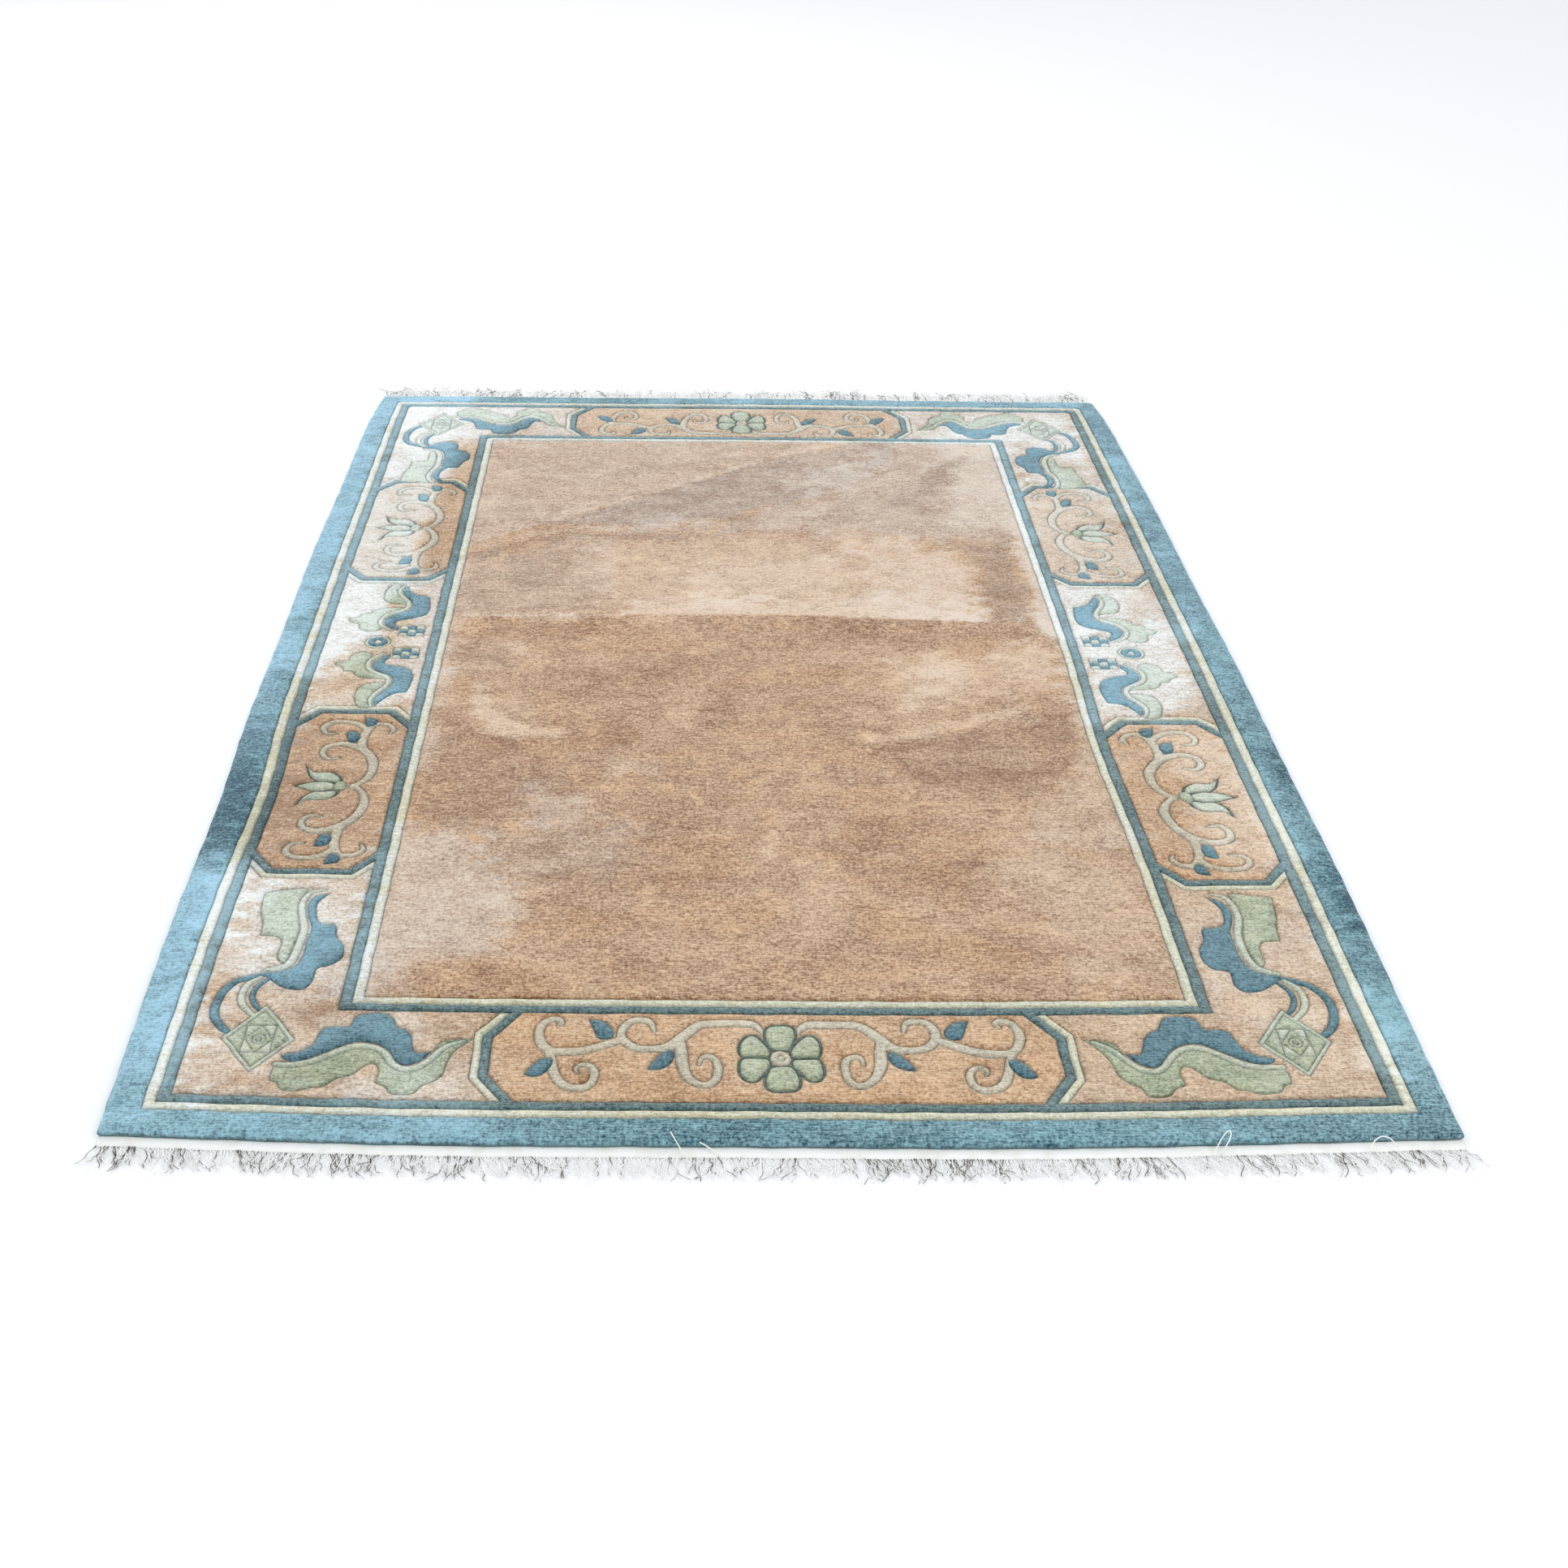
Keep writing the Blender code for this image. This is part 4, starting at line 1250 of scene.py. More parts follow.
def inside(points: np.ndarray, outline: np.ndarray) -> np.ndarray:
    """Whether each point lies in a closed outline.

    Args:
        points: Rows of x and y.
        outline: The rows of the outline's corners.

    Returns:
        One truth value for each point.
    """
    low, high = outline.min(axis=0), outline.max(axis=0)
    held = np.flatnonzero(np.all((points >= low) & (points <= high), axis=1))
    result = np.zeros(len(points), dtype=bool)
    if len(held) == 0:
        return result
    x, y = points[held, 0], points[held, 1]
    odd = np.zeros(len(held), dtype=bool)
    for (x0, y0), (x1, y1) in zip(outline, np.roll(outline, -1, axis=0)):
        if y0 == y1:
            continue
        crosses = ((y0 > y) != (y1 > y)) & (x < (x1 - x0) * (y - y0) / (y1 - y0) + x0)
        odd ^= crosses
    result[held] = odd
    return result


@dataclass
class Runs:
    """Straight runs in the plane, with quick answers on how near they are."""

    starts: np.ndarray
    ends: np.ndarray
    sample_step: float = 0.0015

    def __post_init__(self) -> None:
        """Spreads sample points along the runs for the search."""
        lengths = np.hypot(*(self.ends - self.starts).T)
        counts = np.maximum(1, np.ceil(lengths / self.sample_step).astype(int))
        self.owner = np.repeat(np.arange(len(counts)), counts)
        order = np.arange(len(self.owner)) - np.repeat(np.cumsum(counts) - counts, counts)
        share = ((order + 0.5) / counts[self.owner])[:, None]
        samples = self.starts[self.owner] * (1 - share) + self.ends[self.owner] * share
        self.search = KDTree(len(samples))
        for number, (x, y) in enumerate(samples.tolist()):
            self.search.insert((x, y, 0.0), number)
        self.search.balance()

    def distance(self, points: np.ndarray) -> np.ndarray:
        """Distance from each point to the nearest run."""
        nearest = [self.search.find((x, y, 0.0))[1] for x, y in points.tolist()]
        run = self.owner[np.array(nearest)]
        start, reach = self.starts[run], self.ends[run] - self.starts[run]
        away = points - start
        length = np.maximum((reach**2).sum(axis=1), 1e-12)
        share = np.clip((away * reach).sum(axis=1) / length, 0.0, 1.0)
        return np.hypot(*(away - share[:, None] * reach).T)


def linked(name: str, data: bpy.types.ID) -> bpy.types.Object:
    """A new object that is linked to the scene."""
    item = bpy.data.objects.new(name, data)
    bpy.context.scene.collection.objects.link(item)
    return item


def add_mesh(name: str, points: np.ndarray, faces: list, smooth: bool = True) -> bpy.types.Object:
    """A new mesh object at the origin."""
    mesh = bpy.data.meshes.new(name)
    mesh.from_pydata(points.tolist(), [], faces)
    mesh.polygons.foreach_set("use_smooth", np.full(len(mesh.polygons), smooth))
    mesh.update()
    return linked(name, mesh)


def set_values(item: bpy.types.Object, name: str, values: np.ndarray) -> None:
    """Stores one number for each point of a mesh."""
    layer = item.data.attributes.new(name, "FLOAT", "POINT")
    layer.data.foreach_set("value", values.astype(np.float32))


def declare(item: bpy.types.Object, slot: str, *nodes: str) -> bpy.types.Object:
    """Ties a finished piece to the frame: its body and the solids it replaces."""
    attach(item, BODY)
    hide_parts(*nodes)
    LOG.info("%s: %d faces", item.name, len(item.data.polygons))
    return item


@dataclass
class Knotting:
    """A triangulated plan of the carpet with the wool of each triangle."""

    patches: list[Patch]
    points: np.ndarray = field(init=False)
    faces: np.ndarray = field(init=False)
    wools: np.ndarray = field(init=False)

    WOOL_LIST = tuple(Wool)

    def weave(self, outlines: list[np.ndarray], loose: np.ndarray) -> None:
        """Triangulates the outlines with loose points between, and finds each triangle's wool.

        Args:
            outlines: The closed outlines of the patches.
            loose: Rows of further points.
        """
        sizes = [len(outline) for outline in outlines]
        points = np.concatenate(outlines + [loose])
        edges, first = [], 0
        for size in sizes:
            edges += [(first + i, first + (i + 1) % size) for i in range(size)]
            first += size
        plan = delaunay_2d_cdt(points.tolist(), edges, [], 0, 1e-6)
        self.points = np.array([tuple(point) for point in plan[0]])
        self.faces = np.array(plan[2])
        a, b, c = (self.points[self.faces[:, k]] for k in range(3))
        ab, ac = b - a, c - a
        turned = ab[:, 0] * ac[:, 1] - ab[:, 1] * ac[:, 0] < 0
        self.faces[turned] = self.faces[turned][:, ::-1]
        middles = (a + b + c) / 3
        self.wools = np.zeros(len(self.faces), dtype=int)
        for patch, outline in zip(self.patches, outlines):
            self.wools[inside(middles, outline)] = self.WOOL_LIST.index(patch.wool)

    def cut_runs(self) -> Runs:
        """The edges where two wools meet, which are carved."""
        edges = np.sort(self.faces[:, [0, 1, 1, 2, 2, 0]].reshape(-1, 2), axis=1)
        owners = np.repeat(np.arange(len(self.faces)), 3)
        order = np.lexsort((edges[:, 1], edges[:, 0]))
        edges, owners = edges[order], owners[order]
        same = np.flatnonzero(np.all(edges[1:] == edges[:-1], axis=1))
        cut = same[self.wools[owners[same]] != self.wools[owners[same + 1]]]
        return Runs(self.points[edges[cut, 0]], self.points[edges[cut, 1]])


@dataclass
class Carpet:
    """The knotted sheet: its carved pile, panel by panel, on its flat knotted back."""

    lie: Lie = field(default_factory=Lie)
    carving: Carving = field(default_factory=Carving)
    plan: BorderPlan = field(default_factory=BorderPlan)
    back_top: float = 0.0030
    back_step: float = 0.0080
    back_inset: float = 0.0008
    rail_clear: float = 0.86
    scatter: float = 0.3
    edge_clear: float = 0.0006
    edge_rows: tuple[Point, ...] = ((0.0005, 0.0075), (0.0004, 0.0050), (-0.0010, 0.0026))
    # Painted shade on the pile's outer side, by row, darker towards the floor
    wall_painted_shade: Scale = (0.35, 0.7, 1.0)
    ribbon_reach: float = 0.35
    seed: int = 5

    def patches(self) -> list[Patch]:
        """The whole design, from the outer band inwards."""
        return self.plan.bands() + self.plan.cartouches() + Spray(self.plan).patches()

    def loose_points(self, outlines: list[np.ndarray]) -> np.ndarray:
        """Points beside the outlines that shape the grooves, and a scatter over the rest."""
        starts = np.concatenate(outlines)
        ends = np.concatenate([np.roll(outline, -1, axis=0) for outline in outlines])
        runs = Runs(starts, ends)
        kept = []
        for rail in self.carving.rails:
            for side in (-1.0, 1.0):
                rows = [o + side * rail * side_normals(o, closed=True) for o in outlines]
                row = np.concatenate(rows)
                kept.append(row[runs.distance(row) > self.rail_clear * rail])
        step = self.carving.grid_step
        spread = np.random.default_rng(self.seed)
        half_x, half_y = self.plan.half_width, self.plan.half_length
        columns, rows = np.arange(-half_x, half_x, step), np.arange(-half_y, half_y, step)
        grid = np.stack(np.meshgrid(columns, rows), axis=-1).reshape(-1, 2)
        grid += spread.uniform(-self.scatter, self.scatter, grid.shape) * step
        grid = grid[runs.distance(grid) > self.carving.half_width + self.scatter * step]
        points = np.concatenate(kept + [grid])
        limits = np.array((half_x, half_y)) - self.edge_clear
        return points[np.all(np.abs(points) < limits, axis=1)]

    def panel_names(self, middles: np.ndarray) -> np.ndarray:
        """The panel that each triangle belongs to. Panels part only along carved lines."""
        names = np.full(len(middles), "pile_field", dtype=object)
        x, y = middles.T
        guard = self.plan.guard_blue + self.plan.guard_cream
        outer, inner = self.plan.ground_outer, self.plan.ground_inner
        ring = (np.abs(x) > inner[0]) | (np.abs(y) > inner[1])
        outside = (np.abs(x) > outer[0]) | (np.abs(y) > outer[1])
        edge = self.plan.half_sizes(self.plan.outer_band)
        field_edge = (inner[0] - guard, inner[1] - guard * self.plan.end_to_side)
        within = (np.abs(x) > field_edge[0]) | (np.abs(y) > field_edge[1])
        names[within] = "pile_inner_guards"
        for sign_x, side in ((-1, "left"), (1, "right")):
            for sign_y, end in ((-1, "near"), (1, "far")):
                corner = ring & (x * sign_x > 0) & (y * sign_y > 0)
                names[corner] = f"pile_corner_{end}_{side}"
            ribbons = ring & (x * sign_x > 0) & (np.abs(y) < self.ribbon_reach)
            names[ribbons] = f"pile_ribbons_{side}"
        # The first six outlines are the cream ones, which reach furthest out
        for patch in self.plan.cartouches()[:6]:
            middle = patch.outline.mean(axis=0)
            if abs(middle[1]) > inner[1]:
                name = "pile_cartouche_near" if middle[1] < 0 else "pile_cartouche_far"
            else:
                side = "left" if middle[0] < 0 else "right"
                name = f"pile_cartouche_{side}_{'near' if middle[1] < 0 else 'far'}"
            names[ring & inside(middles, patch.outline)] = name
        names[outside] = "pile_outer_guards"
        names[(np.abs(x) > edge[0]) | (np.abs(y) > edge[1])] = "pile_outer_band"
        return names

    def tones(self, points: np.ndarray) -> tuple[np.ndarray, np.ndarray]:
        """Painted light and shade (lean) and painted sheen of the pile at points of the true
        rectangle.
        """
        lean, bloom = np.zeros(len(points)), np.zeros(len(points))
        unevenness = Unevenness().values(points)
        for shade in SHADES:
            weight = shade.weight(points, unevenness)
            lean += shade.lean * weight
            bloom += shade.bloom * weight
        return lean, np.clip(bloom, 0.0, 1.0)

    def edge_wall(self, plan: np.ndarray, high: np.ndarray) -> tuple[np.ndarray, list]:
        """The pile's outer side, below its edge.

        Args:
            plan: Rows of x and y of the panel's points in the true rectangle.
            high: Their placed rows of x, y and z.

        Returns:
            New points and the faces that join them to the edge.
        """
        half = np.array((self.plan.half_width, self.plan.half_length))
        edge = np.flatnonzero(np.any(np.abs(np.abs(plan) - half) < 1e-6, axis=1))
        x, y = plan[edge].T
        low, right = np.abs(y + half[1]) < 1e-6, np.abs(x - half[0]) < 1e-6
        top = np.abs(y - half[1]) < 1e-6
        place = np.where(low, x, np.where(right, 3 + y, np.where(top, 6 - x, 9 - y)))
        edge = edge[np.argsort(place)]
        loop = high[edge]
        normals = side_normals(loop[:, :2], closed=True)
        rows = [edge]
        points, first = [], len(plan)
        for out, height in self.edge_rows:
            level = np.full((len(loop), 1), height)
            points.append(np.concatenate((loop[:, :2] + normals * out, level), axis=1))
            rows.append(np.arange(first, first + len(loop)))
            first += len(loop)
        faces = []
        for upper, lower in zip(rows, rows[1:]):
            after_upper, after_lower = np.roll(upper, -1), np.roll(lower, -1)
            faces += np.stack((upper, lower, after_lower, after_upper), axis=1).tolist()
        return np.concatenate(points), faces

    def build_pile(self, finishes: dict[Wool, bpy.types.Material]) -> list[bpy.types.Object]:
        """Builds the carved pile, one piece for each panel.

        Args:
            finishes: The material of each wool.

        Returns:
            The pieces.
        """
        patches = self.patches()
        bands = len(self.plan.bands())
        steps = [self.carving.band_step] * bands + [self.carving.line_step] * (len(patches) - bands)
        outlines = [evenly_cornered(p.outline, s) for p, s in zip(patches, steps)]
        knotting = Knotting(patches)
        knotting.weave(outlines, self.loose_points(outlines))
        plan = knotting.points
        groove = self.carving.cut(knotting.cut_runs().distance(plan))
        half = np.array((self.plan.half_width, self.plan.half_length))
        inset = np.min(half - np.abs(plan), axis=1)
        x, y = plan.T
        lumps = np.sin(61 * x + 5 * np.sin(17 * y)) * np.sin(53 * y + x)
        height = self.carving.pile_top - self.carving.depth * groove - self.carving.shoulder(inset)
        height += self.lie.rise(plan) + self.carving.lumps * lumps * (1.0 - groove)
        high = np.concatenate((self.lie.place(plan), height[:, None]), axis=1)
        lean, bloom = self.tones(plan)
        names = self.panel_names(plan[knotting.faces].mean(axis=1))
        slate = Knotting.WOOL_LIST.index(Wool.SLATE)
        pieces = []
        for name in sorted(set(names)):
            chosen = names == name
            used, faces = np.unique(knotting.faces[chosen], return_inverse=True)
            faces = faces.reshape(-1, 3).tolist()
            points, wools = high[used], knotting.wools[chosen]
            # Painted light and shade (lean), painted sheen and nearness to a groove, for the pile's
            # shader
            values = {"lean": lean[used], "bloom": bloom[used], "groove": groove[used]}
            if name == "pile_outer_band":
                wall, wall_faces = self.edge_wall(plan[used], points)
                points = np.concatenate((points, wall))
                faces += wall_faces
                wools = np.concatenate((wools, np.full(len(wall_faces), slate)))
                bare = np.zeros(len(wall))
                values = {key: np.concatenate((old, bare)) for key, old in values.items()}
                # The outer side's groove values carry its painted shade
                rows = len(wall) // len(self.edge_rows)
                values["groove"][-len(wall) :] = np.repeat(self.wall_painted_shade, rows)
            piece = add_mesh(name, points, faces)
            for key, numbers in values.items():
                set_values(piece, key, numbers)
            present = sorted(set(wools.tolist()))
            for number in present:
                piece.data.materials.append(finishes[Knotting.WOOL_LIST[number]])
            slots = np.searchsorted(present, wools)
            piece.data.polygons.foreach_set("material_index", slots.astype(np.int32))
            pieces.append(declare(piece, "wool_pile", "carpet"))
        return pieces

    def build_back(self, finishes: dict[Wool, bpy.types.Material]) -> bpy.types.Object:
        """Builds the flat knotted back as a closed slab that shows the design below."""
        patches = self.patches()
        outlines = [evenly_cornered(p.outline, self.back_step) for p in patches]
        knotting = Knotting(patches)
        knotting.weave(outlines, np.zeros((0, 2)))
        plan, faces = knotting.points, knotting.faces
        placed = self.lie.place(plan * (1.0 - self.back_inset))
        count = len(plan)
        low = np.concatenate((placed, np.zeros((count, 1))), axis=1)
        high = np.concatenate((placed, np.full((count, 1), self.back_top)), axis=1)
        edges = faces[:, [0, 1, 1, 2, 2, 0]].reshape(-1, 2)
        keys = edges[:, 0].astype(np.int64) * count + edges[:, 1]
        opposite = edges[:, 1].astype(np.int64) * count + edges[:, 0]
        rim = edges[~np.isin(keys, opposite)]
        walls = np.stack((rim[:, 0], rim[:, 1], rim[:, 1] + count, rim[:, 0] + count), axis=1)
        piece = add_mesh(
            "knotted_back",
            np.concatenate((low, high)),
            faces[:, ::-1].tolist() + (faces + count).tolist() + walls.tolist(),
            smooth=False,
        )
        for wool in Knotting.WOOL_LIST:
            piece.data.materials.append(finishes[wool])
        slate = Knotting.WOOL_LIST.index(Wool.SLATE)
        slots = np.concatenate((knotting.wools, knotting.wools, np.full(len(walls), slate)))
        piece.data.polygons.foreach_set("material_index", slots.astype(np.int32))
        return declare(piece, "wool_pile", "carpet")


def evenly_cornered(outline: np.ndarray, step: float) -> np.ndarray:
    """Sets points along a closed outline at even steps, and keeps its long-armed corners.

    Args:
        outline: The rows of the outline's points.
        step: The longest gap between two points.

    Returns:
        The rows of the new points.
    """
    reach = np.hypot(*(np.roll(outline, -1, axis=0) - outline).T)
    if np.median(reach) < step:
        return evenly(outline, closed=True, step=step)
    points = []
    for start, end, length in zip(outline, np.roll(outline, -1, axis=0), reach):
        count = max(1, math.ceil(length / step))
        shares = np.arange(count)[:, None] / count
        points.append(start * (1 - shares) + end * shares)
    return np.concatenate(points)


# The woven ends and the fringe


def tube(line: np.ndarray, radius: np.ndarray, sides: int) -> tuple[np.ndarray, list]:
    """Points and faces of a thin closed tube along a line.

    Args:
        line: Rows of x, y and z.
        radius: The tube's radius at each row.
        sides: How many flat sides it has.

    Returns:
        The points and the faces.
    """
    run = np.gradient(line, axis=0)
    run /= np.linalg.norm(run, axis=1)[:, None]
    across = np.cross(run, (0.0, 0.0, 1.0))
    across /= np.linalg.norm(across, axis=1)[:, None]
    up = np.cross(across, run)
    angles = 2 * np.pi * np.arange(sides) / sides
    circle = np.cos(angles)[:, None, None] * across + np.sin(angles)[:, None, None] * up
    points = (line + circle * radius[:, None]).transpose(1, 0, 2).reshape(-1, 3)
    faces = []
    for row in range(len(line) - 1):
        for side in range(sides):
            after = (side + 1) % sides
            a, b = row * sides + side, row * sides + after
            faces.append((a, a + sides, b + sides, b))
    last = (len(line) - 1) * sides
    faces.append(tuple(range(sides)))
    faces.append(tuple(range(last + sides - 1, last - 1, -1)))
    return points, faces


@dataclass(frozen=True)
class Yarn:
    """Cut warp yarns of about unit length that grow along +Y from the origin, in several makes."""

    makes: int = 18
    rows: int = 9
    sides: int = 4
    width: float = 0.032
    wave: float = 0.085
    curl: float = 0.30
    lift: float = 0.060
    seed: int = 21

    def build(self) -> bpy.types.Collection:
        """Builds the yarns in a collection of their own."""
        chance = np.random.default_rng(self.seed)
        makes = bpy.data.collections.new("yarns")
        share = np.linspace(0.0, 1.0, self.rows)
        for number in range(self.makes):
            turns, bend = chance.uniform(1.0, 2.6), chance.normal(0.0, self.curl)
            start, length = chance.uniform(0.0, 2 * np.pi), chance.uniform(0.72, 1.12)
            swing = np.sin(2 * np.pi * turns * share + start) - np.sin(start)
            x = self.wave * swing * share**0.7 + bend * share**2
            lift = self.lift * chance.uniform(0.0, 1.0)
            z = 0.5 * self.width + lift * np.sin(np.pi * share) ** 2
            z += 0.03 * share * (1 - share) * np.sin(9 * share + start)
            line = np.stack((x, share * length, np.maximum(z, 0.5 * self.width)), axis=1)
            radius = 0.5 * self.width * (1.0 - 0.25 * share)
            points, faces = tube(line, radius, self.sides)
            yarn = add_mesh(f"yarn_{number:02d}", points, faces)
            bpy.context.scene.collection.objects.unlink(yarn)
            makes.objects.link(yarn)
        return makes


@dataclass(frozen=True)
class FringeTree:
    """The Geometry Nodes tree that sets yarns at root points."""

    name: str = "fringe"

    SOCKETS = {
        "Roots": "NodeSocketGeometry",
        "Yarns": "NodeSocketCollection",
        "Length": "NodeSocketFloat",
        "Length Spread": "NodeSocketFloat",
        "Turn Spread": "NodeSocketFloat",
        "Rise Spread": "NodeSocketFloat",
        "Seed": "NodeSocketInt",
        "Material": "NodeSocketMaterial",
    }

    def build(self) -> tuple[bpy.types.NodeTree, dict[str, str]]:
        """Builds the tree.

        Returns:
            The tree, and the identifier of each of its inputs by name.
        """
        tree = bpy.data.node_groups.new(self.name, "GeometryNodeTree")
        graph = Graph(tree)
        names = {}
        for name, kind in self.SOCKETS.items():
            item = tree.interface.new_socket(name=name, in_out="INPUT", socket_type=kind)
            names[name] = item.identifier
        tree.interface.new_socket(name="Fringe", in_out="OUTPUT", socket_type="NodeSocketGeometry")
        given = graph.add("NodeGroupInput").outputs
        seed = given["Seed"]
        inputs = {"Collection": given["Yarns"], "Separate Children": True}
        yarns = graph.add("GeometryNodeCollectionInfo", inputs)
        stored = graph.add("GeometryNodeInputNamedAttribute", {"Name": "lean"}, data_type="FLOAT")
        make = self.chance(graph, seed, 0, 0.0, Yarn.makes - 0.001)
        turn = graph.maths("MULTIPLY", self.chance(graph, seed, 1, -1, 1), given["Turn Spread"])
        turn = graph.maths("ADD", stored.outputs[0], turn)
        rise = graph.maths("MULTIPLY", self.chance(graph, seed, 2, 0, 1), given["Rise Spread"])
        rotation = graph.add("ShaderNodeCombineXYZ", {0: rise, 2: turn}).outputs[0]
        longer = graph.maths("MULTIPLY", self.chance(graph, seed, 4, -1, 1), given["Length Spread"])
        scale = graph.maths("MULTIPLY", graph.maths("ADD", longer, 1.0), given["Length"])
        inputs = {"Probability": 0.5, "Seed": seed}
        mirror = graph.add("FunctionNodeRandomValue", inputs, data_type="BOOLEAN")
        flip = graph.maths("SUBTRACT", 1.0, graph.maths("MULTIPLY", mirror.outputs[3], 2.0))
        flipped = graph.maths("MULTIPLY", scale, flip)
        scales = graph.add("ShaderNodeCombineXYZ", {0: flipped, 1: scale, 2: given["Length"]})
        points = graph.add("GeometryNodeMeshToPoints", {"Mesh": given["Roots"]})
        inputs = {
            "Points": points.outputs[0],
            "Instance": yarns.outputs[0],
            "Pick Instance": True,
            "Instance Index": graph.maths("FLOOR", make),
            "Rotation": rotation,
            "Scale": scales.outputs[0],
        }
        grown = graph.add("GeometryNodeInstanceOnPoints", inputs)
        real = graph.add("GeometryNodeRealizeInstances", {0: grown.outputs[0]})
        inputs = {"Geometry": real.outputs[0], "Material": given["Material"]}
        dressed = graph.add("GeometryNodeSetMaterial", inputs)
        graph.add("NodeGroupOutput", {0: dressed.outputs[0]})
        return tree, names

    def chance(self, graph: Graph, seed: Socket, number: int, low: float, high: float) -> Socket:
        """A random number for each root, from a seed of its own."""
        own = graph.maths("MULTIPLY_ADD", seed, 7.0, float(number))
        inputs = {2: low, 3: high, "Seed": own}
        return graph.add("FunctionNodeRandomValue", inputs, data_type="FLOAT").outputs[1]


def grown_mesh(
    roots: bpy.types.Object, tree: bpy.types.NodeTree, values: dict[str, object], name: str
) -> bpy.types.Object:
    """Runs a Geometry Nodes tree on root points and keeps the result as a plain mesh.

    Args:
        roots: The object that holds the root points. It is removed.
        tree: The node tree.
        values: The tree's inputs by their identifiers.
        name: Name of the new object.

    Returns:
        The new object.
    """
    modifier = roots.modifiers.new(tree.name, "NODES")
    modifier.node_group = tree
    for identifier, value in values.items():
        modifier[identifier] = value
    roots.update_tag()
    shown = roots.evaluated_get(bpy.context.evaluated_depsgraph_get())
    mesh = bpy.data.meshes.new_from_object(shown)
    mesh.name = name
    roots.modifiers.remove(modifier)
    bpy.data.objects.remove(roots, do_unlink=True)
    mesh.polygons.foreach_set("use_smooth", np.ones(len(mesh.polygons), dtype=bool))
    return linked(name, mesh)


@dataclass(frozen=True)
class LooseThreads:
    """A few warp ends that have worked loose and lie over the near end band."""

    width: float = 0.0016
    sides: int = 6
    runs: tuple[np.ndarray, ...] = (
        mm3(-122, -1236, 4, -130, -1226, 10, -137, -1216, 16, -142, -1207, 19),
        mm3(-80, -1234, 4, -90, -1227, 8, -100, -1221, 11, -106, -1218, 12),
        mm3(527, -1232, 4, 534, -1222, 9, 545, -1208, 18, 553, -1202, 21, 554, -1210, 19,
            545, -1222, 11, 538, -1232, 5),
        mm3(724, -1226, 4, 729, -1216, 12, 741, -1208, 17, 753, -1211, 16, 760, -1222, 10,
            763, -1233, 4),
    )

    def build(self, cotton: bpy.types.Material) -> bpy.types.Object:
        """Builds all the threads as one piece."""
        points, faces, first = [], [], 0
        for run in self.runs:
            line = rounded(run, closed=False, cuts=(0.25, 0.25, 0.25))
            new_points, new_faces = tube(line, np.full(len(line), 0.5 * self.width), self.sides)
            points.append(new_points)
            faces += [tuple(first + k for k in face) for face in new_faces]
            first += len(new_points)
        threads = add_mesh("loose_threads", np.concatenate(points), faces)
        threads.data.materials.append(cotton)
        return declare(threads, "cotton_warp", "fringe_near")


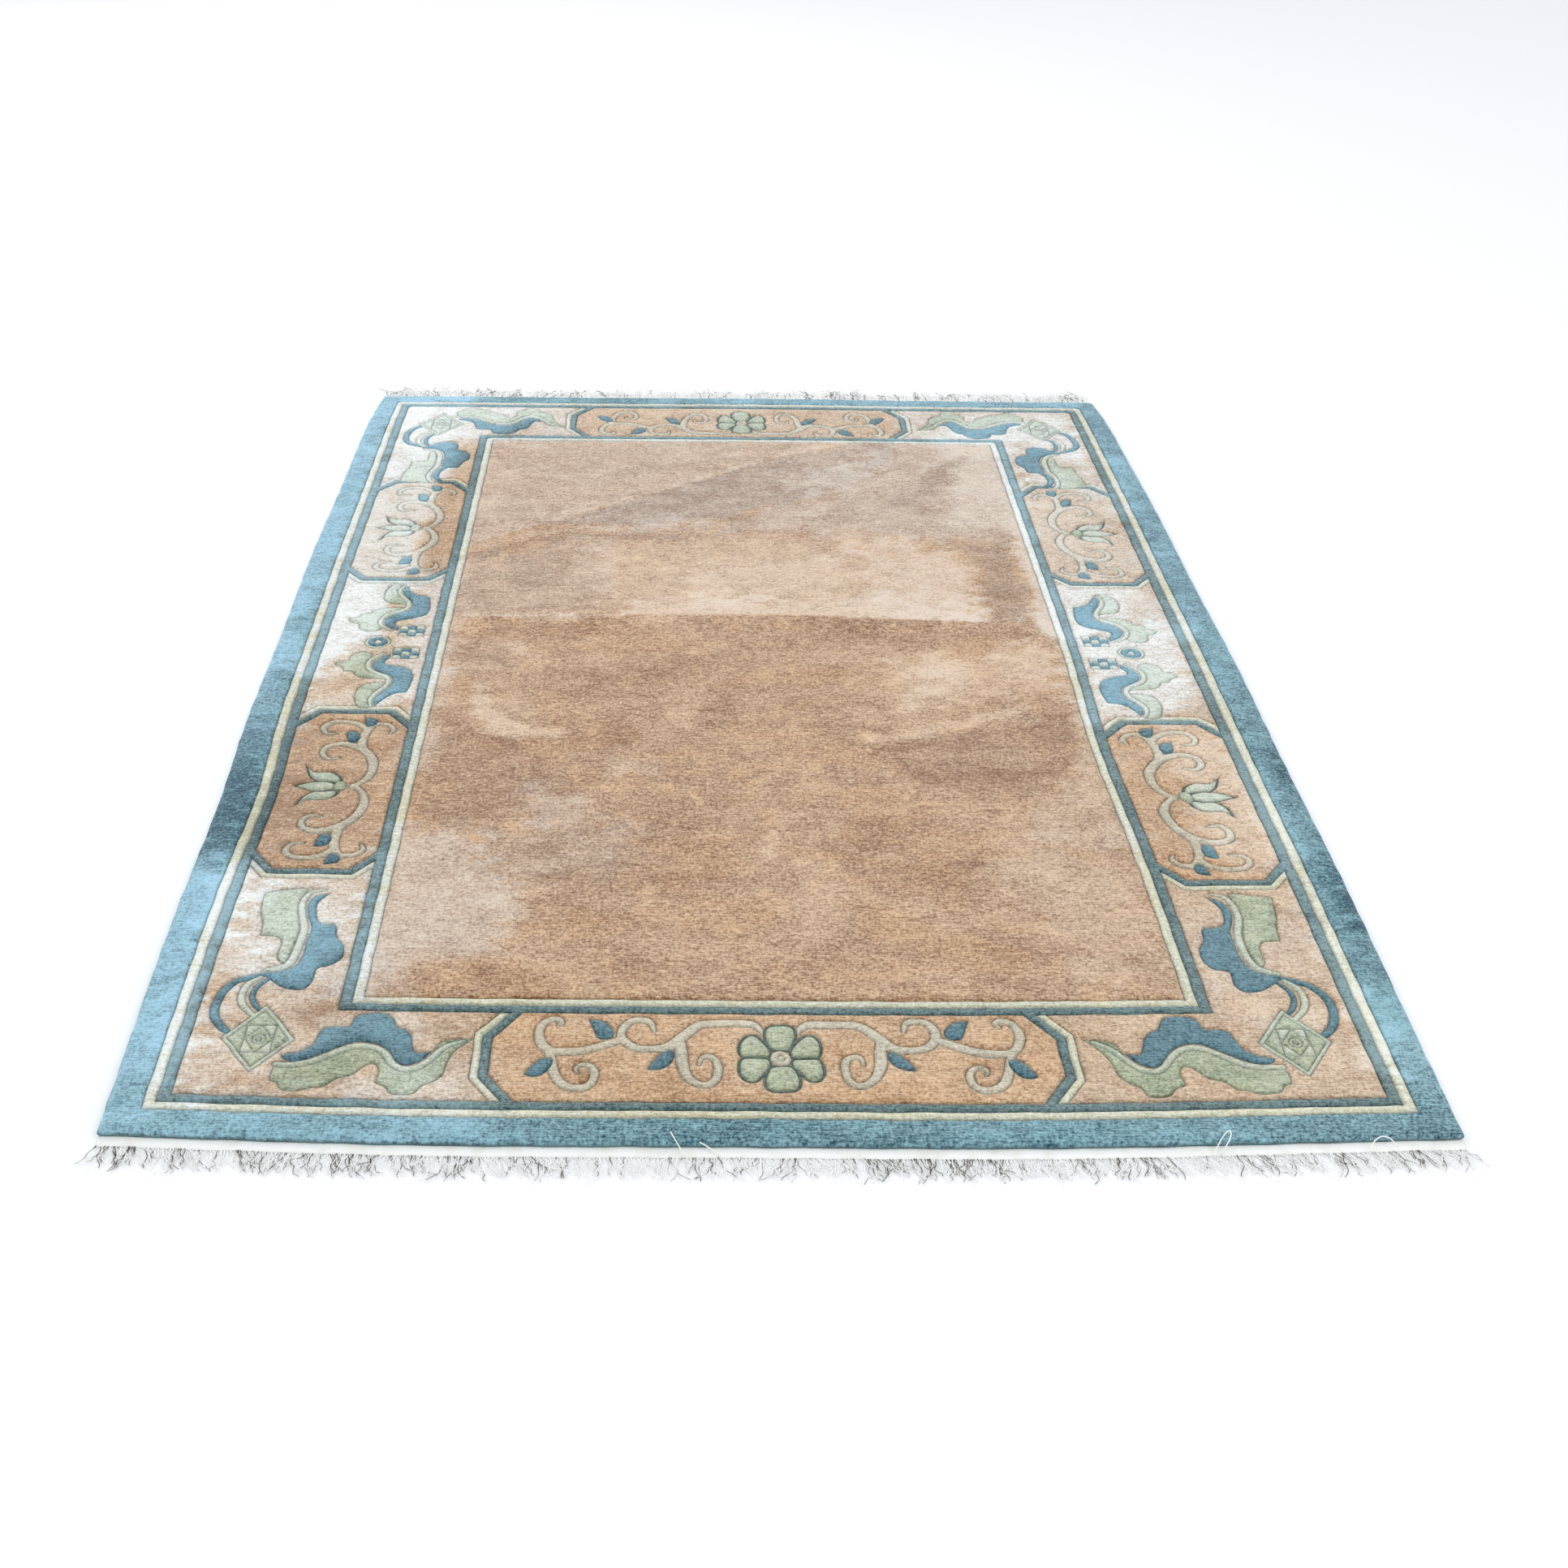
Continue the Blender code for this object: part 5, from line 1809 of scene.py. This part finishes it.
@dataclass
class WovenEnd:
    """One end of the carpet past the pile: the woven cotton band and its fringe of warp ends."""

    end: End
    lie: Lie = field(default_factory=Lie)
    gap: float = 0.0004
    band_width: float = 0.0160
    band_height: float = 0.0028
    columns: int = 340
    bunches: int = 300
    bunch_yarns: int = 4
    yarn_pitch: float = 0.0011
    near_length: float = 0.035
    far_length: float = 0.052
    near_shadow_and_soil_share: float = 0.26
    far_shadow_and_soil_share: float = 0.10
    far_shadow_and_soil: float = 0.30
    length_spread: float = 0.16
    turn_spread: float = 0.20
    near_rise: float = 0.03
    far_rise: float = 0.10
    bunch_turn: float = 0.16
    yarn_shift: float = 0.0004
    seed: int = 3

    # The band's cut across, as shares of its width and height, from its inner foot
    PROFILE = (
        (0.0, 0.0), (0.0, 0.8), (0.06, 0.97), (0.3, 1.0), (0.6, 0.98), (0.88, 0.9), (0.98, 0.6),
        (1.0, 0.25), (0.98, 0.0),
    )

    def edge_line(self, x: np.ndarray, out: float) -> np.ndarray:
        """Points beside the pile's end, as they lie on the floor."""
        y = np.full(len(x), self.end.value * (self.lie.half_length + out))
        return self.lie.place(np.stack((x, y), axis=1))

    def build_band(self, cotton: bpy.types.Material) -> bpy.types.Object:
        """Builds the woven band as a closed strip with soft edges and slight ribs."""
        width, height = self.band_width, self.band_height
        x = np.linspace(-self.lie.half_width, self.lie.half_width, self.columns)
        rings = []
        for out, up in self.PROFILE:
            line = self.edge_line(x, self.gap + out * width)
            ripple = 1.0 + 0.05 * np.sin(np.arange(self.columns) * 2.1) * (up > 0)
            z = up * height * ripple
            rings.append(np.concatenate((line, z[:, None]), axis=1))
        points = np.stack(rings, axis=1).reshape(-1, 3)
        size = len(self.PROFILE)
        faces = []
        for column in range(self.columns - 1):
            for row in range(size):
                after = (row + 1) % size
                a, b = column * size + row, column * size + after
                faces.append((a, b, b + size, a + size))
        faces.append(tuple(range(size - 1, -1, -1)))
        last = (self.columns - 1) * size
        faces.append(tuple(range(last, last + size)))
        if self.end is End.NEAR:
            faces = [face[::-1] for face in faces]
        band = add_mesh(f"end_band_{self.end.name.lower()}", points, faces)
        band.data.materials.append(cotton)
        return declare(band, "cotton_warp", f"fringe_{self.end.name.lower()}")

    def lean(self, x: np.ndarray) -> np.ndarray:
        """Turn of the combed yarns along the end, in radians to the right of straight out."""
        side = x / self.lie.half_width
        if self.end is End.NEAR:
            swept = 0.10 + 0.42 * np.clip(side, 0.0, 1.0) ** 2
            return swept + 0.10 * np.sin(13 * side) + 0.07 * np.sin(47 * side)
        return 0.12 * np.sin(9 * side + 1.0) + 0.08 * np.sin(31 * side)

    def build_fringe(
        self,
        cotton: bpy.types.Material,
        yarns: bpy.types.Collection,
        tree: bpy.types.NodeTree,
        names: dict[str, str],
    ) -> bpy.types.Object:
        """Grows the fringe from roots under the band's outer edge."""
        near = self.end is End.NEAR
        chance = np.random.default_rng(self.seed + self.end.value)
        pitch = 2 * self.lie.half_width / self.bunches
        centres = -self.lie.half_width + pitch * (np.arange(self.bunches) + 0.5)
        offsets = (np.arange(self.bunch_yarns) - (self.bunch_yarns - 1) / 2) * self.yarn_pitch
        shifts = chance.normal(0.0, self.yarn_shift, (self.bunches, self.bunch_yarns))
        x = (centres[:, None] + offsets + shifts).ravel()
        bunch_turns = chance.normal(0.0, self.bunch_turn, self.bunches)
        turn = self.lean(x) + np.repeat(bunch_turns, self.bunch_yarns)
        out = self.gap + self.band_width - chance.uniform(0.0008, 0.0025, len(x))
        line = np.concatenate([self.edge_line(x[k : k + 1], out[k]) for k in range(len(x))])
        height = chance.uniform(0.0, 0.0011, (len(x), 1))
        mesh = bpy.data.meshes.new("roots")
        mesh.from_pydata(np.concatenate((line, height), axis=1).tolist(), [], [])
        roots = linked("roots", mesh)
        set_values(roots, "lean", turn + math.pi if near else -turn)
        # Dark yarns, in clusters, paint the shadow between yarns and soiling; the far yarns are all
        # a little greyed with painted shade and soil
        clusters = 0.5 + 0.5 * np.sin(41 * x + 3 * np.sin(17 * x))
        share = self.near_shadow_and_soil_share if near else self.far_shadow_and_soil_share
        soiled = chance.uniform(0.0, 1.0, len(x)) < (share * (0.35 + 1.3 * clusters))
        clean = 0.0 if near else self.far_shadow_and_soil
        set_values(roots, "soil", np.where(soiled, chance.uniform(0.50, 0.90, len(x)), clean))
        values = {
            names["Yarns"]: yarns,
            names["Length"]: self.near_length if near else self.far_length,
            names["Length Spread"]: self.length_spread,
            names["Turn Spread"]: self.turn_spread,
            names["Rise Spread"]: self.near_rise if near else self.far_rise,
            names["Seed"]: self.seed + self.end.value,
            names["Material"]: cotton,
        }
        fringe = grown_mesh(roots, tree, values, f"warp_fringe_{self.end.name.lower()}")
        return declare(fringe, "cotton_warp", f"fringe_{self.end.name.lower()}")


@dataclass
class Studio:
    """A plain pale floor, soft lights and the camera."""

    floor_colour: Colour = (254, 254, 254)
    floor_drop: float = 0.0006
    sky: tuple[float, float, float, float] = (0.93, 0.96, 1.0, 1.0)
    sky_strength: float = 0.90
    lamp_size: float = 3.0
    sensor: float = 36.0
    lens: float = 40.30
    shift: float = 0.0462
    camera_place: Scale = (-0.13043768, -2.76140657, 1.59076474)
    camera_turn: Scale = (0.97555429, -0.01453696, -0.01044196)

    # Name, place, turn in degrees and watts of each lamp
    LAMPS = (
        ("window", (-3.4, 4.2, 3.2), (-50, -38, 0), 130),
        ("fill", (3.0, -2.6, 3.4), (38, 36, 0), 40),
    )

    def build_floor(self) -> None:
        """Builds the floor just under the carpet."""
        corners = ((-9, -9), (9, -9), (9, 12), (-9, 12))
        points = np.array([(x, y, -self.floor_drop) for x, y in corners])
        floor = add_mesh("floor", points, [(0, 1, 2, 3)])
        matt = {"Roughness": 0.9, "Specular IOR Level": 0.0}
        material, *_ = new_material("pale_floor", {"Base Color": linear(self.floor_colour), **matt})
        floor.data.materials.append(material)

    def build_lights(self) -> None:
        """Builds a pale sky and two soft lights."""
        world = bpy.data.worlds.new("sky")
        world.use_nodes = True
        background = world.node_tree.nodes["Background"]
        background.inputs[0].default_value = self.sky
        background.inputs[1].default_value = self.sky_strength
        bpy.context.scene.world = world
        for name, place, turn, power in self.LAMPS:
            lamp = bpy.data.lights.new(name, "AREA")
            lamp.size, lamp.energy = self.lamp_size, power
            item = linked(name, lamp)
            item.location = place
            item.rotation_euler = Euler([math.radians(angle) for angle in turn])

    def build_camera(self) -> None:
        """Builds the camera at the photograph's viewing angle."""
        data = bpy.data.cameras.new("camera")
        data.sensor_width, data.lens = self.sensor, self.lens
        data.shift_x = self.shift
        camera = linked("camera", data)
        camera.location = self.camera_place
        camera.rotation_euler = self.camera_turn
        bpy.context.scene.camera = camera
        bpy.context.scene.view_settings.view_transform = "Standard"


def main() -> None:
    """Builds the dressed carpet, piece by piece."""
    logging.basicConfig(level=logging.INFO, format="%(message)s")
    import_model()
    lie = Lie()
    carpet = Carpet(lie)
    wools = {wool: finish.material() for wool, finish in WOOL_FINISHES.items()}
    backs = {
        wool: BackFinish(f"{wool.value}_back", finish.light).material()
        for wool, finish in WOOL_FINISHES.items()
    }
    pile = carpet.build_pile(wools)
    back = carpet.build_back(backs)
    cotton = BAND_COTTON.material()
    yarn_cotton = YARN_COTTON.material()
    yarns = Yarn().build()
    tree, names = FringeTree().build()
    ends = [WovenEnd(end, lie) for end in End]
    bands = [end.build_band(cotton) for end in ends]
    fringes = [end.build_fringe(yarn_cotton, yarns, tree, names) for end in ends]
    fringes.append(LooseThreads().build(cotton))
    studio = Studio()
    studio.build_floor()
    studio.build_lights()
    studio.build_camera()


if __name__ == "__main__":
    main()
